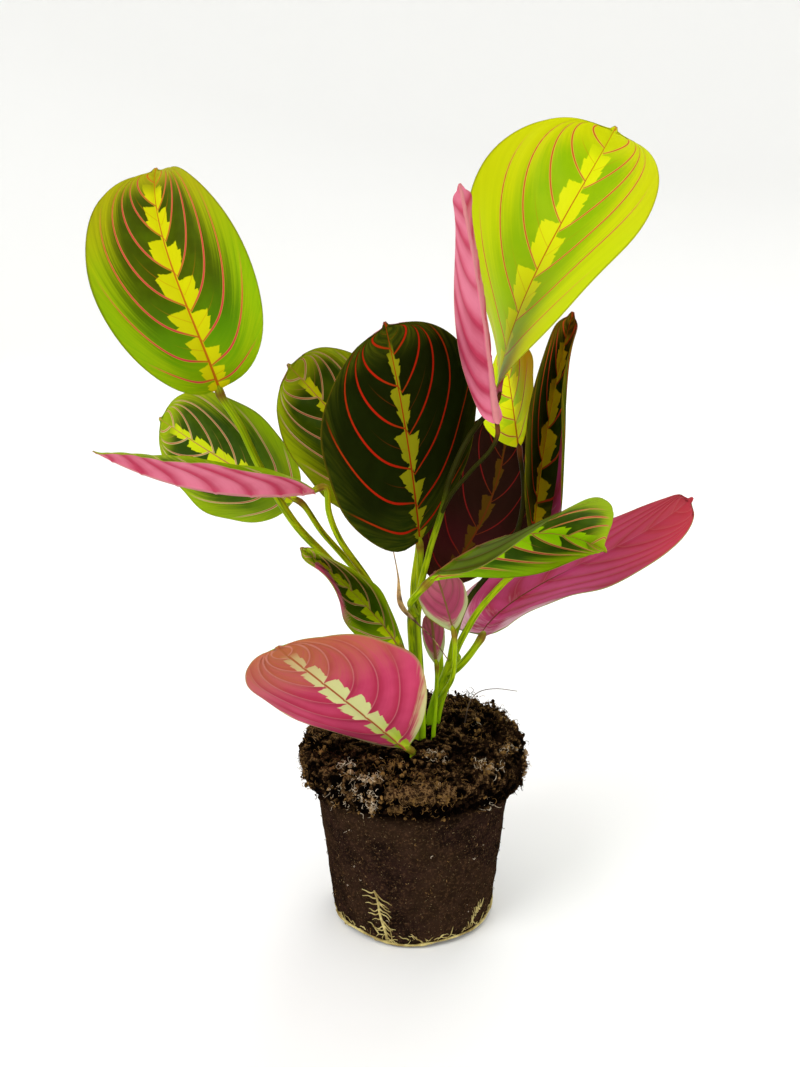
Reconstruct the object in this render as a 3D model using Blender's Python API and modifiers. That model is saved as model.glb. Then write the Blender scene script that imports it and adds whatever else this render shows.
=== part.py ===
"""Prayer plant (Maranta) lifted out of its nursery pot: a root ball that keeps the pot's
shape, three shoots of stalks standing in it, sixteen patterned leaves and a few loose roots.

The origin is the centre of the root ball's flat bottom and +Z is up. Lengths below are in
millimetres and angles in degrees, and MM turns them into Blender's metres.
"""

import math
from dataclasses import dataclass

import bmesh
import bpy
from mathutils import Quaternion, Vector, noise

MM = 0.001
NAME = "prayer_plant"

# The root ball is a cast of a 9 cm nursery pot.
BOTTOM_RADIUS = 30.5
EDGE_RADIUS = 33.0
EDGE_HEIGHT = 2.5
BODY_RADIUS = 39.3
BODY_HEIGHT = 60.5
RIM_RADIUS = 44.5
RIM_BOTTOM = 62.5
RIM_TOP = 75.0
SOIL_HEIGHT = 77.0
BALL_STEPS = 40
CRUMB = 1.1
CRUMB_SIZE = 7.0
SIDE_CRUMB = 0.35
BITE_DEPTH = 6.5
BITE_ANGLE = -90.0
BITE_SPREAD = 42.0

# What stands in the soil keeps a small gap to it, and so does a blade to its stalk.
GAP = 0.35
STALK_END_GAP = 0.6
STALK_LEAD = 4.0

# A blade is a thin sheet, pleated along its side veins.
BLADE = 0.6
RIBS = 7
ACROSS = 8
RIB_HEIGHT = 0.45
MARGIN_WAVE = 0.9
VEIN_SWEEP = 0.14
MIDRIB_STEPS = 48


@dataclass
class Leaf:
    """One blade. It leaves its stalk at base and marches along its midrib, bending as it goes."""

    name: str
    base: tuple
    heading: float
    rise: float
    roll: float
    length: float
    width: float
    arch: float = 0.0
    sway: float = 0.0
    late_sway: float = 0.0
    twist: float = 0.0
    left_fold: float = 5.0
    right_fold: float = 5.0
    closing: float = 0.0
    left_curl: float = 0.0
    right_curl: float = 0.0
    belly: float = 0.95
    blunt: float = 0.58
    lean: float = 0.0
    colour: tuple = (0.10, 0.22, 0.03)


LIME = (0.42, 0.52, 0.04)
GREEN = (0.12, 0.24, 0.03)
DARK = (0.03, 0.06, 0.02)
MAROON = (0.06, 0.02, 0.015)
PINK = (0.45, 0.10, 0.13)

LEFT_LEAVES = [
    Leaf("leaf_left_top", (-71, -8, 220), 236, 68, -116, 88, 62, arch=67, sway=-22,
         late_sway=1.25, twist=-28, left_fold=19, right_fold=33, left_curl=7, right_curl=7,
         belly=0.94, colour=GREEN),
    Leaf("leaf_left_middle", (-46, 6, 174), 182, 29, -117, 62, 57, arch=24, sway=9, twist=11,
         left_fold=-3, right_fold=7, closing=-3, left_curl=-2, right_curl=-2, blunt=0.42,
         colour=GREEN),
    Leaf("leaf_left_folded", (-36, -22, 186), -171, -7, 10, 81, 34, arch=-38, sway=-4,
         left_fold=52, right_fold=50, closing=-9, left_curl=-23, right_curl=-23, blunt=0.62,
         colour=PINK),
    Leaf("leaf_left_low", (-6, -19, 124), 130, 36, -73, 56, 43, arch=-71, sway=-8, twist=23,
         left_fold=71, right_fold=31, closing=26, left_curl=9, right_curl=9, blunt=0.6,
         colour=GREEN),
]
MIDDLE_LEAVES = [
    Leaf("leaf_middle_back", (-2, 11, 171), 190, 53, -35, 73, 62, sway=6, twist=-20,
         left_fold=4, right_fold=4, left_curl=-6, right_curl=-6, blunt=0.39, colour=GREEN),
    Leaf("leaf_middle_dark", (2, -11, 163), 246, 78, -98, 87, 79, arch=4, sway=6, twist=-26,
         left_fold=6, right_fold=4, closing=-5, left_curl=-4, right_curl=-4, belly=0.98,
         blunt=0.47, colour=DARK),
    Leaf("leaf_top_large", (31, 2, 217), -60, 79, 59, 108, 81, arch=53, sway=16, twist=83,
         left_fold=-5, right_fold=14, closing=8, left_curl=-2, right_curl=-2, belly=0.98,
         blunt=0.42, lean=0.09, colour=LIME),
    Leaf("leaf_top_folded", (28, -34, 213), 166, 83, 113, 81, 50, sway=-6, twist=-16,
         left_fold=72, right_fold=58, closing=8, left_curl=19, right_curl=19, belly=0.97,
         blunt=0.65, colour=PINK),
    Leaf("leaf_front_spread", (6, -33, 155), 4, 42, 118, 73, 52, arch=20, sway=-78, twist=-77,
         left_fold=70, right_fold=3, closing=14, left_curl=9, right_curl=9, belly=1.2,
         blunt=0.67, lean=0.4, colour=LIME),
]
RIGHT_LEAVES = [
    Leaf("leaf_right_small", (40, 7, 195), 100, 56, -57, 46, 37, arch=7, sway=9, left_fold=4,
         right_fold=28, closing=-13, left_curl=-7, right_curl=-7, belly=1.05, blunt=0.62,
         colour=LIME),
    Leaf("leaf_right_maroon", (10, 19, 135), 35, 34, 3, 82, 66, arch=-52, sway=12, twist=4,
         left_fold=6, right_fold=8, closing=2, left_curl=7, right_curl=7, blunt=0.53,
         colour=MAROON),
    Leaf("leaf_right_upright", (46, 3, 160), -25, 87, 138, 88, 60, arch=-6, sway=-8, twist=-27,
         left_fold=56, right_fold=70, closing=2, left_curl=4, right_curl=49, belly=0.79,
         colour=DARK),
    Leaf("leaf_right_spread", (27, -4, 122), 62, 20, -171, 105, 64, arch=46, sway=40,
         late_sway=-2.66, twist=3, left_fold=-44, right_fold=19, closing=19, left_curl=-3,
         right_curl=-3, belly=0.94, blunt=0.35, colour=PINK),
    Leaf("leaf_young", (14, -26, 133), 117, 58, 211, 23, 25, arch=4, sway=-10, twist=-31,
         left_fold=7, right_fold=5, closing=-8, left_curl=-5, right_curl=-5, belly=0.97,
         colour=PINK),
    Leaf("leaf_bud", (9, 0, 109), -142, 83, 48, 24, 9, arch=9, left_fold=14, right_fold=13,
         belly=0.94, colour=PINK),
]
FRONT_LEAVES = [
    Leaf("leaf_front_low", (-3, -20, 82), -166, 45, 59, 82, 67, arch=28, sway=20, twist=10,
         left_fold=-9, right_fold=3, closing=-4, left_curl=30, right_curl=30, belly=1.0,
         blunt=0.59, colour=PINK),
]


@dataclass
class Stalk:
    """A tube through its points, from a thick foot to a slim top, which ends at a leaf's base."""

    points: list
    foot: float
    top: float
    leaf: str = ""


SHOOT_LEFT = [
    Stalk([(0, 3, 63), (0, 3, 77), (-2, 4, 92), (-6, 7, 113), (-13, 9, 130)], 2.3, 1.9),
    Stalk([(-11, 8, 125), (-16, 9, 134), (-27, 5, 144), (-36, 1, 155), (-46, -2, 168),
           (-57, -5, 189), (-64, -7, 206)], 1.7, 1.4, "leaf_left_top"),
    Stalk([(-9, 8, 120), (-16, 13, 134), (-28, 11, 150), (-36, 8, 161)], 1.4, 1.1,
          "leaf_left_middle"),
    Stalk([(-5, 6, 109), (-9, 0, 125), (-17, -7, 145), (-27, -16, 164), (-31, -22, 177)],
          1.4, 1.1, "leaf_left_folded"),
    Stalk([(-2, 4, 90), (-3, -4, 100), (-5, -13, 110)], 1.3, 1.0, "leaf_left_low"),
]
SHOOT_MIDDLE = [
    Stalk([(2, -4, 63), (2, -4, 77), (2, -4, 94), (1, -6, 112), (0, -8, 130), (1, -9, 140)],
          2.6, 2.3),
    Stalk([(1, -9, 136), (3, -13, 148), (6, -16, 162), (10, -19, 177), (13, -19, 190),
           (19, -16, 203), (25, -8, 209)], 1.8, 1.3, "leaf_top_large"),
    Stalk([(9, -18, 174), (13, -23, 184), (20, -29, 195), (26, -33, 203)], 1.2, 1.0,
          "leaf_top_folded"),
    Stalk([(1, -8, 134), (2, -8, 148)], 1.4, 1.2, "leaf_middle_dark"),
    Stalk([(0, -7, 128), (0, -1, 142), (2, 7, 157)], 1.4, 1.1, "leaf_middle_back"),
    Stalk([(1, -8, 132), (-1, -17, 139), (-1, -27, 145)], 1.5, 1.2, "leaf_front_spread"),
]
SHOOT_RIGHT = [
    Stalk([(8, 9, 63), (8, 9, 77), (10, 8, 89), (14, 5, 102), (17, 3, 112)], 2.8, 2.3),
    Stalk([(15, 4, 105), (19, -3, 108), (22, -10, 114)], 1.5, 1.2, "leaf_right_spread"),
    Stalk([(16, 3, 110), (19, -6, 122), (25, -10, 135), (34, -8, 145), (43, -2, 151)],
          1.4, 1.2, "leaf_right_upright"),
    Stalk([(14, 4, 104), (16, 0, 119), (21, -3, 136), (32, 0, 150), (40, 3, 163),
           (42, 3, 178)], 1.4, 1.1, "leaf_right_small"),
    Stalk([(11, 7, 91), (11, 12, 106), (9, 16, 122)], 1.4, 1.1, "leaf_right_maroon"),
    Stalk([(9, 8, 86), (14, -5, 97), (17, -20, 111)], 1.1, 0.9, "leaf_young"),
]
STALK_BUD = [Stalk([(8, -3, 63), (8, -3, 77), (9, -1, 92)], 1.0, 0.8, "leaf_bud")]
STALK_FRONT = [Stalk([(-3, -19, 63), (-2, -19, 74)], 1.5, 1.2, "leaf_front_low")]

SHEATH = [(-8, -16, 162), (-6, -17, 151), (-5, -20, 141), (1, -21, 134), (7, -19, 127),
          (13, -19, 118)]
SHEATH_RADIUS = 0.5
SHEATH_BELLY = 0.8
HAIR_ROOT = [(21, 8, 79.5), (23, 9, 87), (27, 11, 91), (34, 12, 92), (43, 14, 90)]
HAIR_RADIUS = 0.4

# Pale roots lie on the ball: one like a feather at its front left, others round its foot.
ROOT_RADIUS = 0.5
ROOT_GAP = 0.7
FEATHER_ANGLES = (-115.5, -110.0)
FEATHER_HEIGHTS = (26.0, 9.0)
FEATHER_BARBS = 7
FEATHER_REACH = 6.0
RING_HEIGHT = 2.6
RING_RADIUS = 0.9
RING_START = -162.0
RING_SWEEP = 330.0
RING_POINTS = 40
RING_ROOTS = 12

STALK_STEP = 6.0
STALK_COLOUR = (0.24, 0.34, 0.03)


def clear_scene():
    for obj in list(bpy.data.objects):
        bpy.data.objects.remove(obj, do_unlink=True)


def new_collection(name):
    collection = bpy.data.collections.new(name)
    bpy.context.scene.collection.children.link(collection)
    return collection


def material(name, colour, roughness):
    made = bpy.data.materials.new(name)
    made.use_nodes = True
    shader = made.node_tree.nodes["Principled BSDF"]
    shader.inputs["Base Color"].default_value = (*colour, 1.0)
    shader.inputs["Roughness"].default_value = roughness
    shader.inputs["Metallic"].default_value = 0.0
    return made


def mesh_object(name, bm, collection, surface=None):
    mesh = bpy.data.meshes.new(name)
    bm.to_mesh(mesh)
    bm.free()
    obj = bpy.data.objects.new(name, mesh)
    if surface:
        mesh.materials.append(surface)
    collection.objects.link(obj)
    return obj


def smooth_path(points, step):
    """Points about a step apart on the smooth curve through the given points."""
    knots = [Vector(point) for point in points]
    ends = [2 * knots[0] - knots[1]] + knots + [2 * knots[-1] - knots[-2]]
    path = []
    for before, start, stop, after in zip(ends, ends[1:], ends[2:], ends[3:]):
        count = max(1, round((stop - start).length / step))
        for index in range(count):
            t = index / count
            path.append(0.5 * (
                2 * start
                + (stop - before) * t
                + (2 * before - 5 * start + 4 * stop - after) * t ** 2
                + (3 * start - before - 3 * stop + after) * t ** 3
            ))
    path.append(knots[-1])
    return path


def tube(name, path, radius_at, collection, cyclic=False):
    """A closed round tube along the path. radius_at gives its radius at 0 to 1 along it."""
    curve = bpy.data.curves.new(name, "CURVE")
    curve.dimensions = "3D"
    curve.bevel_depth = MM
    curve.bevel_resolution = 2
    curve.use_fill_caps = True
    spline = curve.splines.new("POLY")
    spline.points.add(len(path) - 1)
    spline.use_cyclic_u = cyclic
    for index, (point, place) in enumerate(zip(spline.points, path)):
        point.co = (*(Vector(place) * MM), 1.0)
        point.radius = radius_at(index / (len(path) - 1))
    guide = bpy.data.objects.new(name, curve)
    collection.objects.link(guide)
    bpy.context.view_layer.update()
    evaluated = guide.evaluated_get(bpy.context.evaluated_depsgraph_get())
    mesh = bpy.data.meshes.new_from_object(evaluated)
    matrix = guide.matrix_world.copy()
    bpy.data.objects.remove(guide, do_unlink=True)
    bpy.data.curves.remove(curve)
    bm = bmesh.new()
    bm.from_mesh(mesh)
    bmesh.ops.remove_doubles(bm, verts=bm.verts, dist=0.00002)
    bmesh.ops.recalc_face_normals(bm, faces=bm.faces)
    bm.to_mesh(mesh)
    bm.free()
    obj = bpy.data.objects.new(name, mesh)
    obj.matrix_world = matrix
    collection.objects.link(obj)
    return obj


def apply_modifiers(obj):
    bpy.context.view_layer.update()
    evaluated = obj.evaluated_get(bpy.context.evaluated_depsgraph_get())
    mesh = bpy.data.meshes.new_from_object(evaluated)
    obj.modifiers.clear()
    obj.data = mesh


def unite(name, pieces, collection, surface):
    """One closed solid made of all the pieces, which are used up."""
    extra = bpy.data.collections.new(name + "_pieces")
    bpy.context.scene.collection.children.link(extra)
    first = pieces[0]
    for piece in pieces[1:]:
        for home in list(piece.users_collection):
            home.objects.unlink(piece)
        extra.objects.link(piece)
    if len(pieces) > 1:
        union = first.modifiers.new("union", "BOOLEAN")
        union.operation = "UNION"
        union.operand_type = "COLLECTION"
        union.collection = extra
        union.solver = "EXACT"
        apply_modifiers(first)
    for piece in pieces[1:]:
        bpy.data.objects.remove(piece, do_unlink=True)
    bpy.data.collections.remove(extra)
    first.name = name
    first.data.name = name
    for home in list(first.users_collection):
        home.objects.unlink(first)
    collection.objects.link(first)
    first.data.materials.clear()
    first.data.materials.append(surface)
    shade_smooth(first, 60)
    return first


def shade_smooth(obj, angle):
    obj.data.shade_smooth()
    obj.data.set_sharp_from_angle(angle=math.radians(angle))


def half_width(leaf, s):
    """Half the blade's width at s, 0 at its stalk and 1 at its tip, with a small drip tip."""
    q = min(max(s / 0.975, 0.0), 1.0)
    body = 0.5 * leaf.width * max(math.sin(math.pi * q ** leaf.belly), 0.0) ** leaf.blunt
    end = min(0.3 + 0.6 * (1 - s) * leaf.length, 3.0) if s > 0.5 else 1.2
    return (body ** 4 + end ** 4) ** 0.25


def midrib_frames(leaf):
    """(point, along, left, up) at each step of the midrib, where up leaves the upper face."""
    heading, rise, roll = (math.radians(a) for a in (leaf.heading, leaf.rise, leaf.roll))
    along = Vector((math.cos(rise) * math.cos(heading), math.cos(rise) * math.sin(heading),
                    math.sin(rise)))
    left = Vector((-math.sin(heading), math.cos(heading), 0.0))
    left.rotate(Quaternion(along, roll))
    up = along.cross(left)
    point = Vector(leaf.base)
    frames = [(point.copy(), along.copy(), left.copy(), up.copy())]
    for index in range(MIDRIB_STEPS):
        spread = 1 + leaf.late_sway * (2 * (index + 0.5) / MIDRIB_STEPS - 1)
        turn = left * leaf.arch + up * leaf.sway * spread + along * leaf.twist
        angle = math.radians(turn.length) / MIDRIB_STEPS
        halfway = Quaternion(turn, 0.5 * angle) if angle else Quaternion()
        point = point + (halfway @ along) * (leaf.length / MIDRIB_STEPS)
        whole = halfway @ halfway
        along, left, up = whole @ along, whole @ left, whole @ up
        frames.append((point.copy(), along.copy(), left.copy(), up.copy()))
    return frames


def frame_at(frames, s):
    place = min(max(s, 0.0), 1.0) * MIDRIB_STEPS
    index = min(int(place), MIDRIB_STEPS - 1)
    return [a.lerp(b, place - index) for a, b in zip(frames[index], frames[index + 1])]


def blade_point(leaf, frames, across, row):
    """The blade's middle surface. across runs from -1, the right margin, to 1, the left one,
    and row from 0 to 1 along the rib lines, which sweep towards the tip as side veins do."""
    along = 0.5 * row + 0.25 * (1 - math.cos(math.pi * row))
    s = along + 4 * VEIN_SWEEP * along * (1 - along) * abs(across) ** 1.6
    side = 1 if across > 0 else -1
    point, _, left, up = frame_at(frames, s)
    width = half_width(leaf, s)
    fold = leaf.left_fold if side > 0 else leaf.right_fold
    fold = math.radians(fold + leaf.closing * s) * math.tanh(width / (0.15 * leaf.width))
    curl = math.radians(leaf.left_curl if side > 0 else leaf.right_curl) or 1e-6
    turn = fold + curl * abs(across)
    width *= 1 + side * leaf.lean
    out = width * (math.sin(turn) - math.sin(fold)) / curl
    lift = width * (math.cos(fold) - math.cos(turn)) / curl
    size = min(leaf.width / 60, 1.0)
    rib = -math.cos(2 * math.pi * RIBS * row) * min(1.0, 3 * abs(across))
    rib *= RIB_HEIGHT * size * math.sin(math.pi * along) ** 0.5 * (1 - 0.6 * abs(across))
    wave = MARGIN_WAVE * size * math.sin(5 * math.pi * s + side + leaf.length)
    wave *= abs(across) ** 3 * math.sin(math.pi * min(s, 1.0))
    return (point + left * side * out + up * (lift + rib + wave)) * MM


def make_leaf(leaf, collection):
    frames = midrib_frames(leaf)
    rows = 2 * RIBS if leaf.length > 40 else RIBS
    bm = bmesh.new()
    bmesh.ops.create_grid(bm, x_segments=ACROSS, y_segments=rows, size=1.0)
    for vert in bm.verts:
        vert.co = blade_point(leaf, frames, -vert.co.x, 0.5 * (vert.co.y + 1))
    surface = material(leaf.name, leaf.colour, 0.45)
    obj = mesh_object(leaf.name, bm, collection, surface)
    obj.modifiers.new("triangles", "TRIANGULATE")
    solidify = obj.modifiers.new("thickness", "SOLIDIFY")
    solidify.thickness = BLADE * MM
    solidify.offset = 0.0
    solidify.use_even_offset = False
    obj.data.shade_smooth()
    return obj


def stalk_path(stalk, leaves):
    """The stalk's own points, and then straight into the start of its leaf's midrib."""
    points = [Vector(point) for point in stalk.points]
    if stalk.leaf:
        point, along, _, _ = midrib_frames(leaves[stalk.leaf])[0]
        points += [point - along * STALK_LEAD, point - along * STALK_END_GAP]
    return smooth_path(points, STALK_STEP)


def make_shoot(name, stalks, leaves, collection):
    surface = material(name, STALK_COLOUR, 0.4)
    pieces = []
    for stalk in stalks:
        def radius(t, stalk=stalk):
            return stalk.foot + (stalk.top - stalk.foot) * t
        pieces.append(tube(name + "_piece", stalk_path(stalk, leaves), radius, collection))
    return unite(name, pieces, collection, surface)


def ball_profile():
    """(radius, height) from the middle of the soil, down the outside, to the middle below."""
    top = [(0, SOIL_HEIGHT + 0.6), (9, SOIL_HEIGHT + 0.4), (18, SOIL_HEIGHT), (27, SOIL_HEIGHT),
           (35, SOIL_HEIGHT - 0.3), (40.5, SOIL_HEIGHT - 0.6), (43.6, RIM_TOP + 0.6)]
    rim = [(RIM_RADIUS, RIM_TOP - 2), (RIM_RADIUS, 69), (RIM_RADIUS - 0.2, 65),
           (RIM_RADIUS - 1.2, RIM_BOTTOM), (BODY_RADIUS + 0.2, BODY_HEIGHT)]
    body = []
    for step in range(1, 9):
        height = BODY_HEIGHT + (EDGE_HEIGHT - BODY_HEIGHT) * step / 8
        body.append((body_radius(height), height))
    return top + rim + body + [(BOTTOM_RADIUS, 0.0), (0, 0.0)]


def body_radius(height):
    share = (height - EDGE_HEIGHT) / (BODY_HEIGHT - EDGE_HEIGHT)
    return EDGE_RADIUS + (BODY_RADIUS - EDGE_RADIUS) * share


def crumble(place):
    """How far soil and fibre stand out at a place, in millimetres."""
    coarse = noise.noise(place / CRUMB_SIZE)
    fine = noise.noise(place / (0.45 * CRUMB_SIZE) + Vector((9.0, 3.0, 5.0)))
    return CRUMB * (coarse + 0.4 * fine)


def rim_bite(angle, height):
    """The share of the rim's step that has broken away, most at the front below its lip."""
    off = (angle - BITE_ANGLE + 180) % 360 - 180
    around = max(0.0, 1 - (off / BITE_SPREAD) ** 2)
    level = max(0.0, 1 - ((height - 65.0) / 6.5) ** 2)
    ragged = 0.75 + 0.5 * noise.noise(Vector((0.12 * angle, 0.2 * height, 4.0)))
    return around ** 0.5 * level * ragged


def crumbled(place):
    """Where a point of the turned ball lies once the soil has crumbled."""
    out = Vector((place.x, place.y, 0.0))
    radius = out.length
    if place.z < EDGE_HEIGHT - 0.1 or radius < 0.1:
        return place
    out.normalize()
    angle = math.degrees(math.atan2(place.y, place.x))
    relief = crumble(place)
    if place.z >= RIM_TOP:
        mound = 2.2 * math.exp(-((place - Vector((18, 20, place.z))).length / 14) ** 2)
        return place + Vector((0, 0, relief + mound)) + out * 0.3 * relief
    fade = 1.0 if place.z > BODY_HEIGHT else SIDE_CRUMB * min(1.0, (place.z - EDGE_HEIGHT) / 6)
    bite = BITE_DEPTH * rim_bite(angle, place.z)
    return place + out * (relief * fade - bite)


def make_root_ball(collection):
    bm = bmesh.new()
    verts = [bm.verts.new((radius * MM, 0, height * MM)) for radius, height in ball_profile()]
    for start, stop in zip(verts, verts[1:]):
        bm.edges.new((start, stop))
    ball = mesh_object("root_ball", bm, collection, material("root_ball", (0.07, 0.04, 0.02), 0.95))
    screw = ball.modifiers.new("turn", "SCREW")
    screw.steps = BALL_STEPS
    screw.render_steps = BALL_STEPS
    screw.use_merge_vertices = True
    screw.merge_threshold = 0.00001
    apply_modifiers(ball)
    for vert in ball.data.vertices:
        vert.co = crumbled(vert.co / MM) * MM
    shade_smooth(ball, 50)
    return ball


def drill_holes(ball, stalks, leaves, cutters):
    """A plain hole in the soil for each stalk that stands in it, from its foot up into the air."""
    for index, stalk in enumerate(stalks):
        foot = Vector(stalk.points[0])
        path = [foot - Vector((0, 0, GAP))]
        path += [point for point in stalk_path(stalk, leaves)[1:] if point.z < SOIL_HEIGHT + 12]
        cutter = tube(f"hole_{index}", path, lambda t, r=stalk.foot: r + GAP, cutters)
        cutter.hide_render = True
        cutter.display_type = "WIRE"
        cut = ball.modifiers.new(cutter.name, "BOOLEAN")
        cut.operation = "DIFFERENCE"
        cut.object = cutter
        cut.solver = "EXACT"


def on_ball(angle, height, clearance):
    """A point just off the crumbled side of the ball."""
    turn = math.radians(angle)
    radius = body_radius(max(height, EDGE_HEIGHT))
    place = Vector((radius * math.cos(turn), radius * math.sin(turn), height))
    out = Vector((math.cos(turn), math.sin(turn), 0.0))
    return crumbled(place) + out * clearance


def make_feather_root(collection):
    """A root with rootlets along both sides, pressed flat against the ball."""
    clearance = ROOT_GAP + ROOT_RADIUS
    steps = 10
    spine = []
    for index in range(steps + 1):
        t = index / steps
        angle = FEATHER_ANGLES[0] + (FEATHER_ANGLES[1] - FEATHER_ANGLES[0]) * t
        height = FEATHER_HEIGHTS[0] + (FEATHER_HEIGHTS[1] - FEATHER_HEIGHTS[0]) * t
        spine.append(on_ball(angle, height, clearance))
    pieces = [tube("feather", spine, lambda t: 0.7 - 0.2 * t, collection)]
    for index in range(FEATHER_BARBS):
        t = (index + 0.5) / FEATHER_BARBS
        start = FEATHER_ANGLES[0] + (FEATHER_ANGLES[1] - FEATHER_ANGLES[0]) * t
        level = FEATHER_HEIGHTS[0] + (FEATHER_HEIGHTS[1] - FEATHER_HEIGHTS[0]) * t
        reach = math.degrees(FEATHER_REACH / EDGE_RADIUS) * math.sin(math.pi * (0.2 + 0.7 * t))
        for side in (-1, 1):
            barb = [on_ball(start + side * reach * k / 2, level - 1.6 * k, clearance)
                    for k in range(3)]
            pieces.append(tube("barb", barb, lambda t: ROOT_RADIUS - 0.1 * t, collection))
    surface = material("root_feather", (0.62, 0.48, 0.26), 0.7)
    return unite("root_feather", pieces, collection, surface)


def make_ring_root(collection):
    """A long root that circled the pot's foot, with short ends rising from it."""
    clearance = ROOT_GAP + RING_RADIUS
    ring = []
    for index in range(RING_POINTS):
        t = index / (RING_POINTS - 1)
        angle = RING_START + RING_SWEEP * t
        height = RING_HEIGHT + 1.1 * math.sin(7.3 * t * math.pi) * math.sin(3.1 * t * math.pi)
        ring.append(on_ball(angle, height, clearance))
    pieces = [tube("ring", ring, lambda t: RING_RADIUS, collection)]
    for index in range(RING_ROOTS):
        t = (index + 0.5) / RING_ROOTS
        angle = RING_START + RING_SWEEP * t
        if abs(angle - FEATHER_ANGLES[1]) < 14:
            continue
        lean = 9.0 * math.sin(12.9 * index)
        tall = 7.0 + 3.0 * math.sin(4.7 * index)
        twig = [on_ball(angle + lean * k / 2, RING_HEIGHT + tall * k / 2, clearance)
                for k in range(3)]
        pieces.append(tube("twig", twig, lambda t: 0.6 - 0.2 * t, collection))
    surface = material("roots_ring", (0.55, 0.42, 0.24), 0.75)
    return unite("roots_ring", pieces, collection, surface)


def make_sheath(collection):
    """The dried sheath that once wrapped a stalk: a thin curled strip, widest in its middle."""
    def radius(t):
        return SHEATH_RADIUS + SHEATH_BELLY * math.sin(math.pi * t) ** 2
    strip = tube("dried_sheath", smooth_path(SHEATH, 4.0), radius, collection)
    return unite("dried_sheath", [strip], collection, material("sheath", (0.35, 0.2, 0.09), 0.8))


def make_hair_root(collection):
    hair = tube("hair_root", smooth_path(HAIR_ROOT, 3.0), lambda t: HAIR_RADIUS, collection)
    return unite("hair_root", [hair], collection, material("hair_root", (0.2, 0.14, 0.09), 0.8))


def main():
    clear_scene()
    parts = new_collection(NAME)
    cutters = new_collection("cutters")
    all_leaves = LEFT_LEAVES + MIDDLE_LEAVES + RIGHT_LEAVES + FRONT_LEAVES
    leaves = {leaf.name: leaf for leaf in all_leaves}
    for leaf in all_leaves:
        make_leaf(leaf, parts)
    shoots = {
        "shoot_left": SHOOT_LEFT,
        "shoot_middle": SHOOT_MIDDLE,
        "shoot_right": SHOOT_RIGHT,
        "stalk_bud": STALK_BUD,
        "stalk_front": STALK_FRONT,
    }
    for name, stalks in shoots.items():
        make_shoot(name, stalks, leaves, parts)
    ball = make_root_ball(parts)
    drill_holes(ball, [stalks[0] for stalks in shoots.values()], leaves, cutters)
    make_feather_root(parts)
    make_ring_root(parts)
    make_sheath(parts)
    make_hair_root(parts)


main()
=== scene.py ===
# %% [markdown]
# # A prayer plant lifted out of its pot
# The frame holds the plant's real sizes: a root ball, three shoots of stalks, sixteen leaves
# and a few loose roots. This lesson dresses that frame. Each leaf becomes a fine pleated
# blade with its painted herringbone, each stalk a smooth tube with a swollen joint, and the
# ball gets its crumbs, fibres and pale roots. We start by loading the frame.

import math
import random
from dataclasses import dataclass
from functools import partialmethod

import bpy
import numpy as np
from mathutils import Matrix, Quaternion, Vector, noise


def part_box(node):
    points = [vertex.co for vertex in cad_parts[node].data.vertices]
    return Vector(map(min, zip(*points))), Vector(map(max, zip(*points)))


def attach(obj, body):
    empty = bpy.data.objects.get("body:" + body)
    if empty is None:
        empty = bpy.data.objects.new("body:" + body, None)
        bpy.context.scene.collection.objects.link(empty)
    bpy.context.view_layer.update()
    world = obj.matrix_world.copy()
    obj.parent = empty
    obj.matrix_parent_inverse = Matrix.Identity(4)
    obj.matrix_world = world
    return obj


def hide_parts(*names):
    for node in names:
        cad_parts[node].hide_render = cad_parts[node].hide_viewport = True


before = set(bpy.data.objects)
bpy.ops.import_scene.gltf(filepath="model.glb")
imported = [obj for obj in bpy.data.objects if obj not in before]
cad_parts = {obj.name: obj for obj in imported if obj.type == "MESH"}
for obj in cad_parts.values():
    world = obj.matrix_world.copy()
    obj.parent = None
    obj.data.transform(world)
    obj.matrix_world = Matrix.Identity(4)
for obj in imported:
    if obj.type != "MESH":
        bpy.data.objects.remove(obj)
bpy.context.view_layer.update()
MM = 0.001
print("frame nodes:", len(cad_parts))

# %% [markdown]
# ## Camera, floor and light
# The plant is seen from a little above, as from a chair at a table. A wide pale bowl serves
# as floor and backdrop in one: it has no horizon line, and it throws soft light back at the
# plant from every side, so that no leaf goes black.

# %% Camera
ball_low, ball_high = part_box("root_ball")
ball_width = ball_high.x - ball_low.x
EYE_HEIGHT = 0.3066
EYE_DISTANCE = 0.4573
EYE_SHIFT = -0.0053
LOOK_DOWN = 17.5
LENS = 42.2

camera_data = bpy.data.cameras.new("camera")
camera_data.lens = LENS
camera_data.sensor_width = 36.0
camera_data.clip_start = 0.01
camera = bpy.data.objects.new("camera", camera_data)
camera.location = (EYE_SHIFT, -EYE_DISTANCE, EYE_HEIGHT)
camera.rotation_euler = (math.radians(90 - LOOK_DOWN), 0.0, 0.0)
bpy.context.scene.collection.objects.link(camera)
bpy.context.scene.camera = camera
bpy.context.scene.view_settings.view_transform = "Standard"
print("camera", round(EYE_DISTANCE / ball_width, 1), "ball widths away")


# %% Mesh from numbers
def mesh_piece(name, points, faces, materials, face_material=None, notes=None):
    """A mesh object from points in millimetres. Its notes give each point numbers, which the
    material reads by their names."""
    mesh = bpy.data.meshes.new(name)
    mesh.from_pydata((np.asarray(points) * MM).tolist(), [], faces)
    for material in materials:
        mesh.materials.append(material)
    if face_material is not None:
        mesh.polygons.foreach_set("material_index", face_material)
    for note, values in (notes or {}).items():
        layer = mesh.attributes.new(note, "FLOAT", "POINT")
        layer.data.foreach_set("value", np.asarray(values, np.float32).ravel())
    mesh.shade_smooth()
    piece = bpy.data.objects.new(name, mesh)
    bpy.context.scene.collection.objects.link(piece)
    return piece


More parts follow.
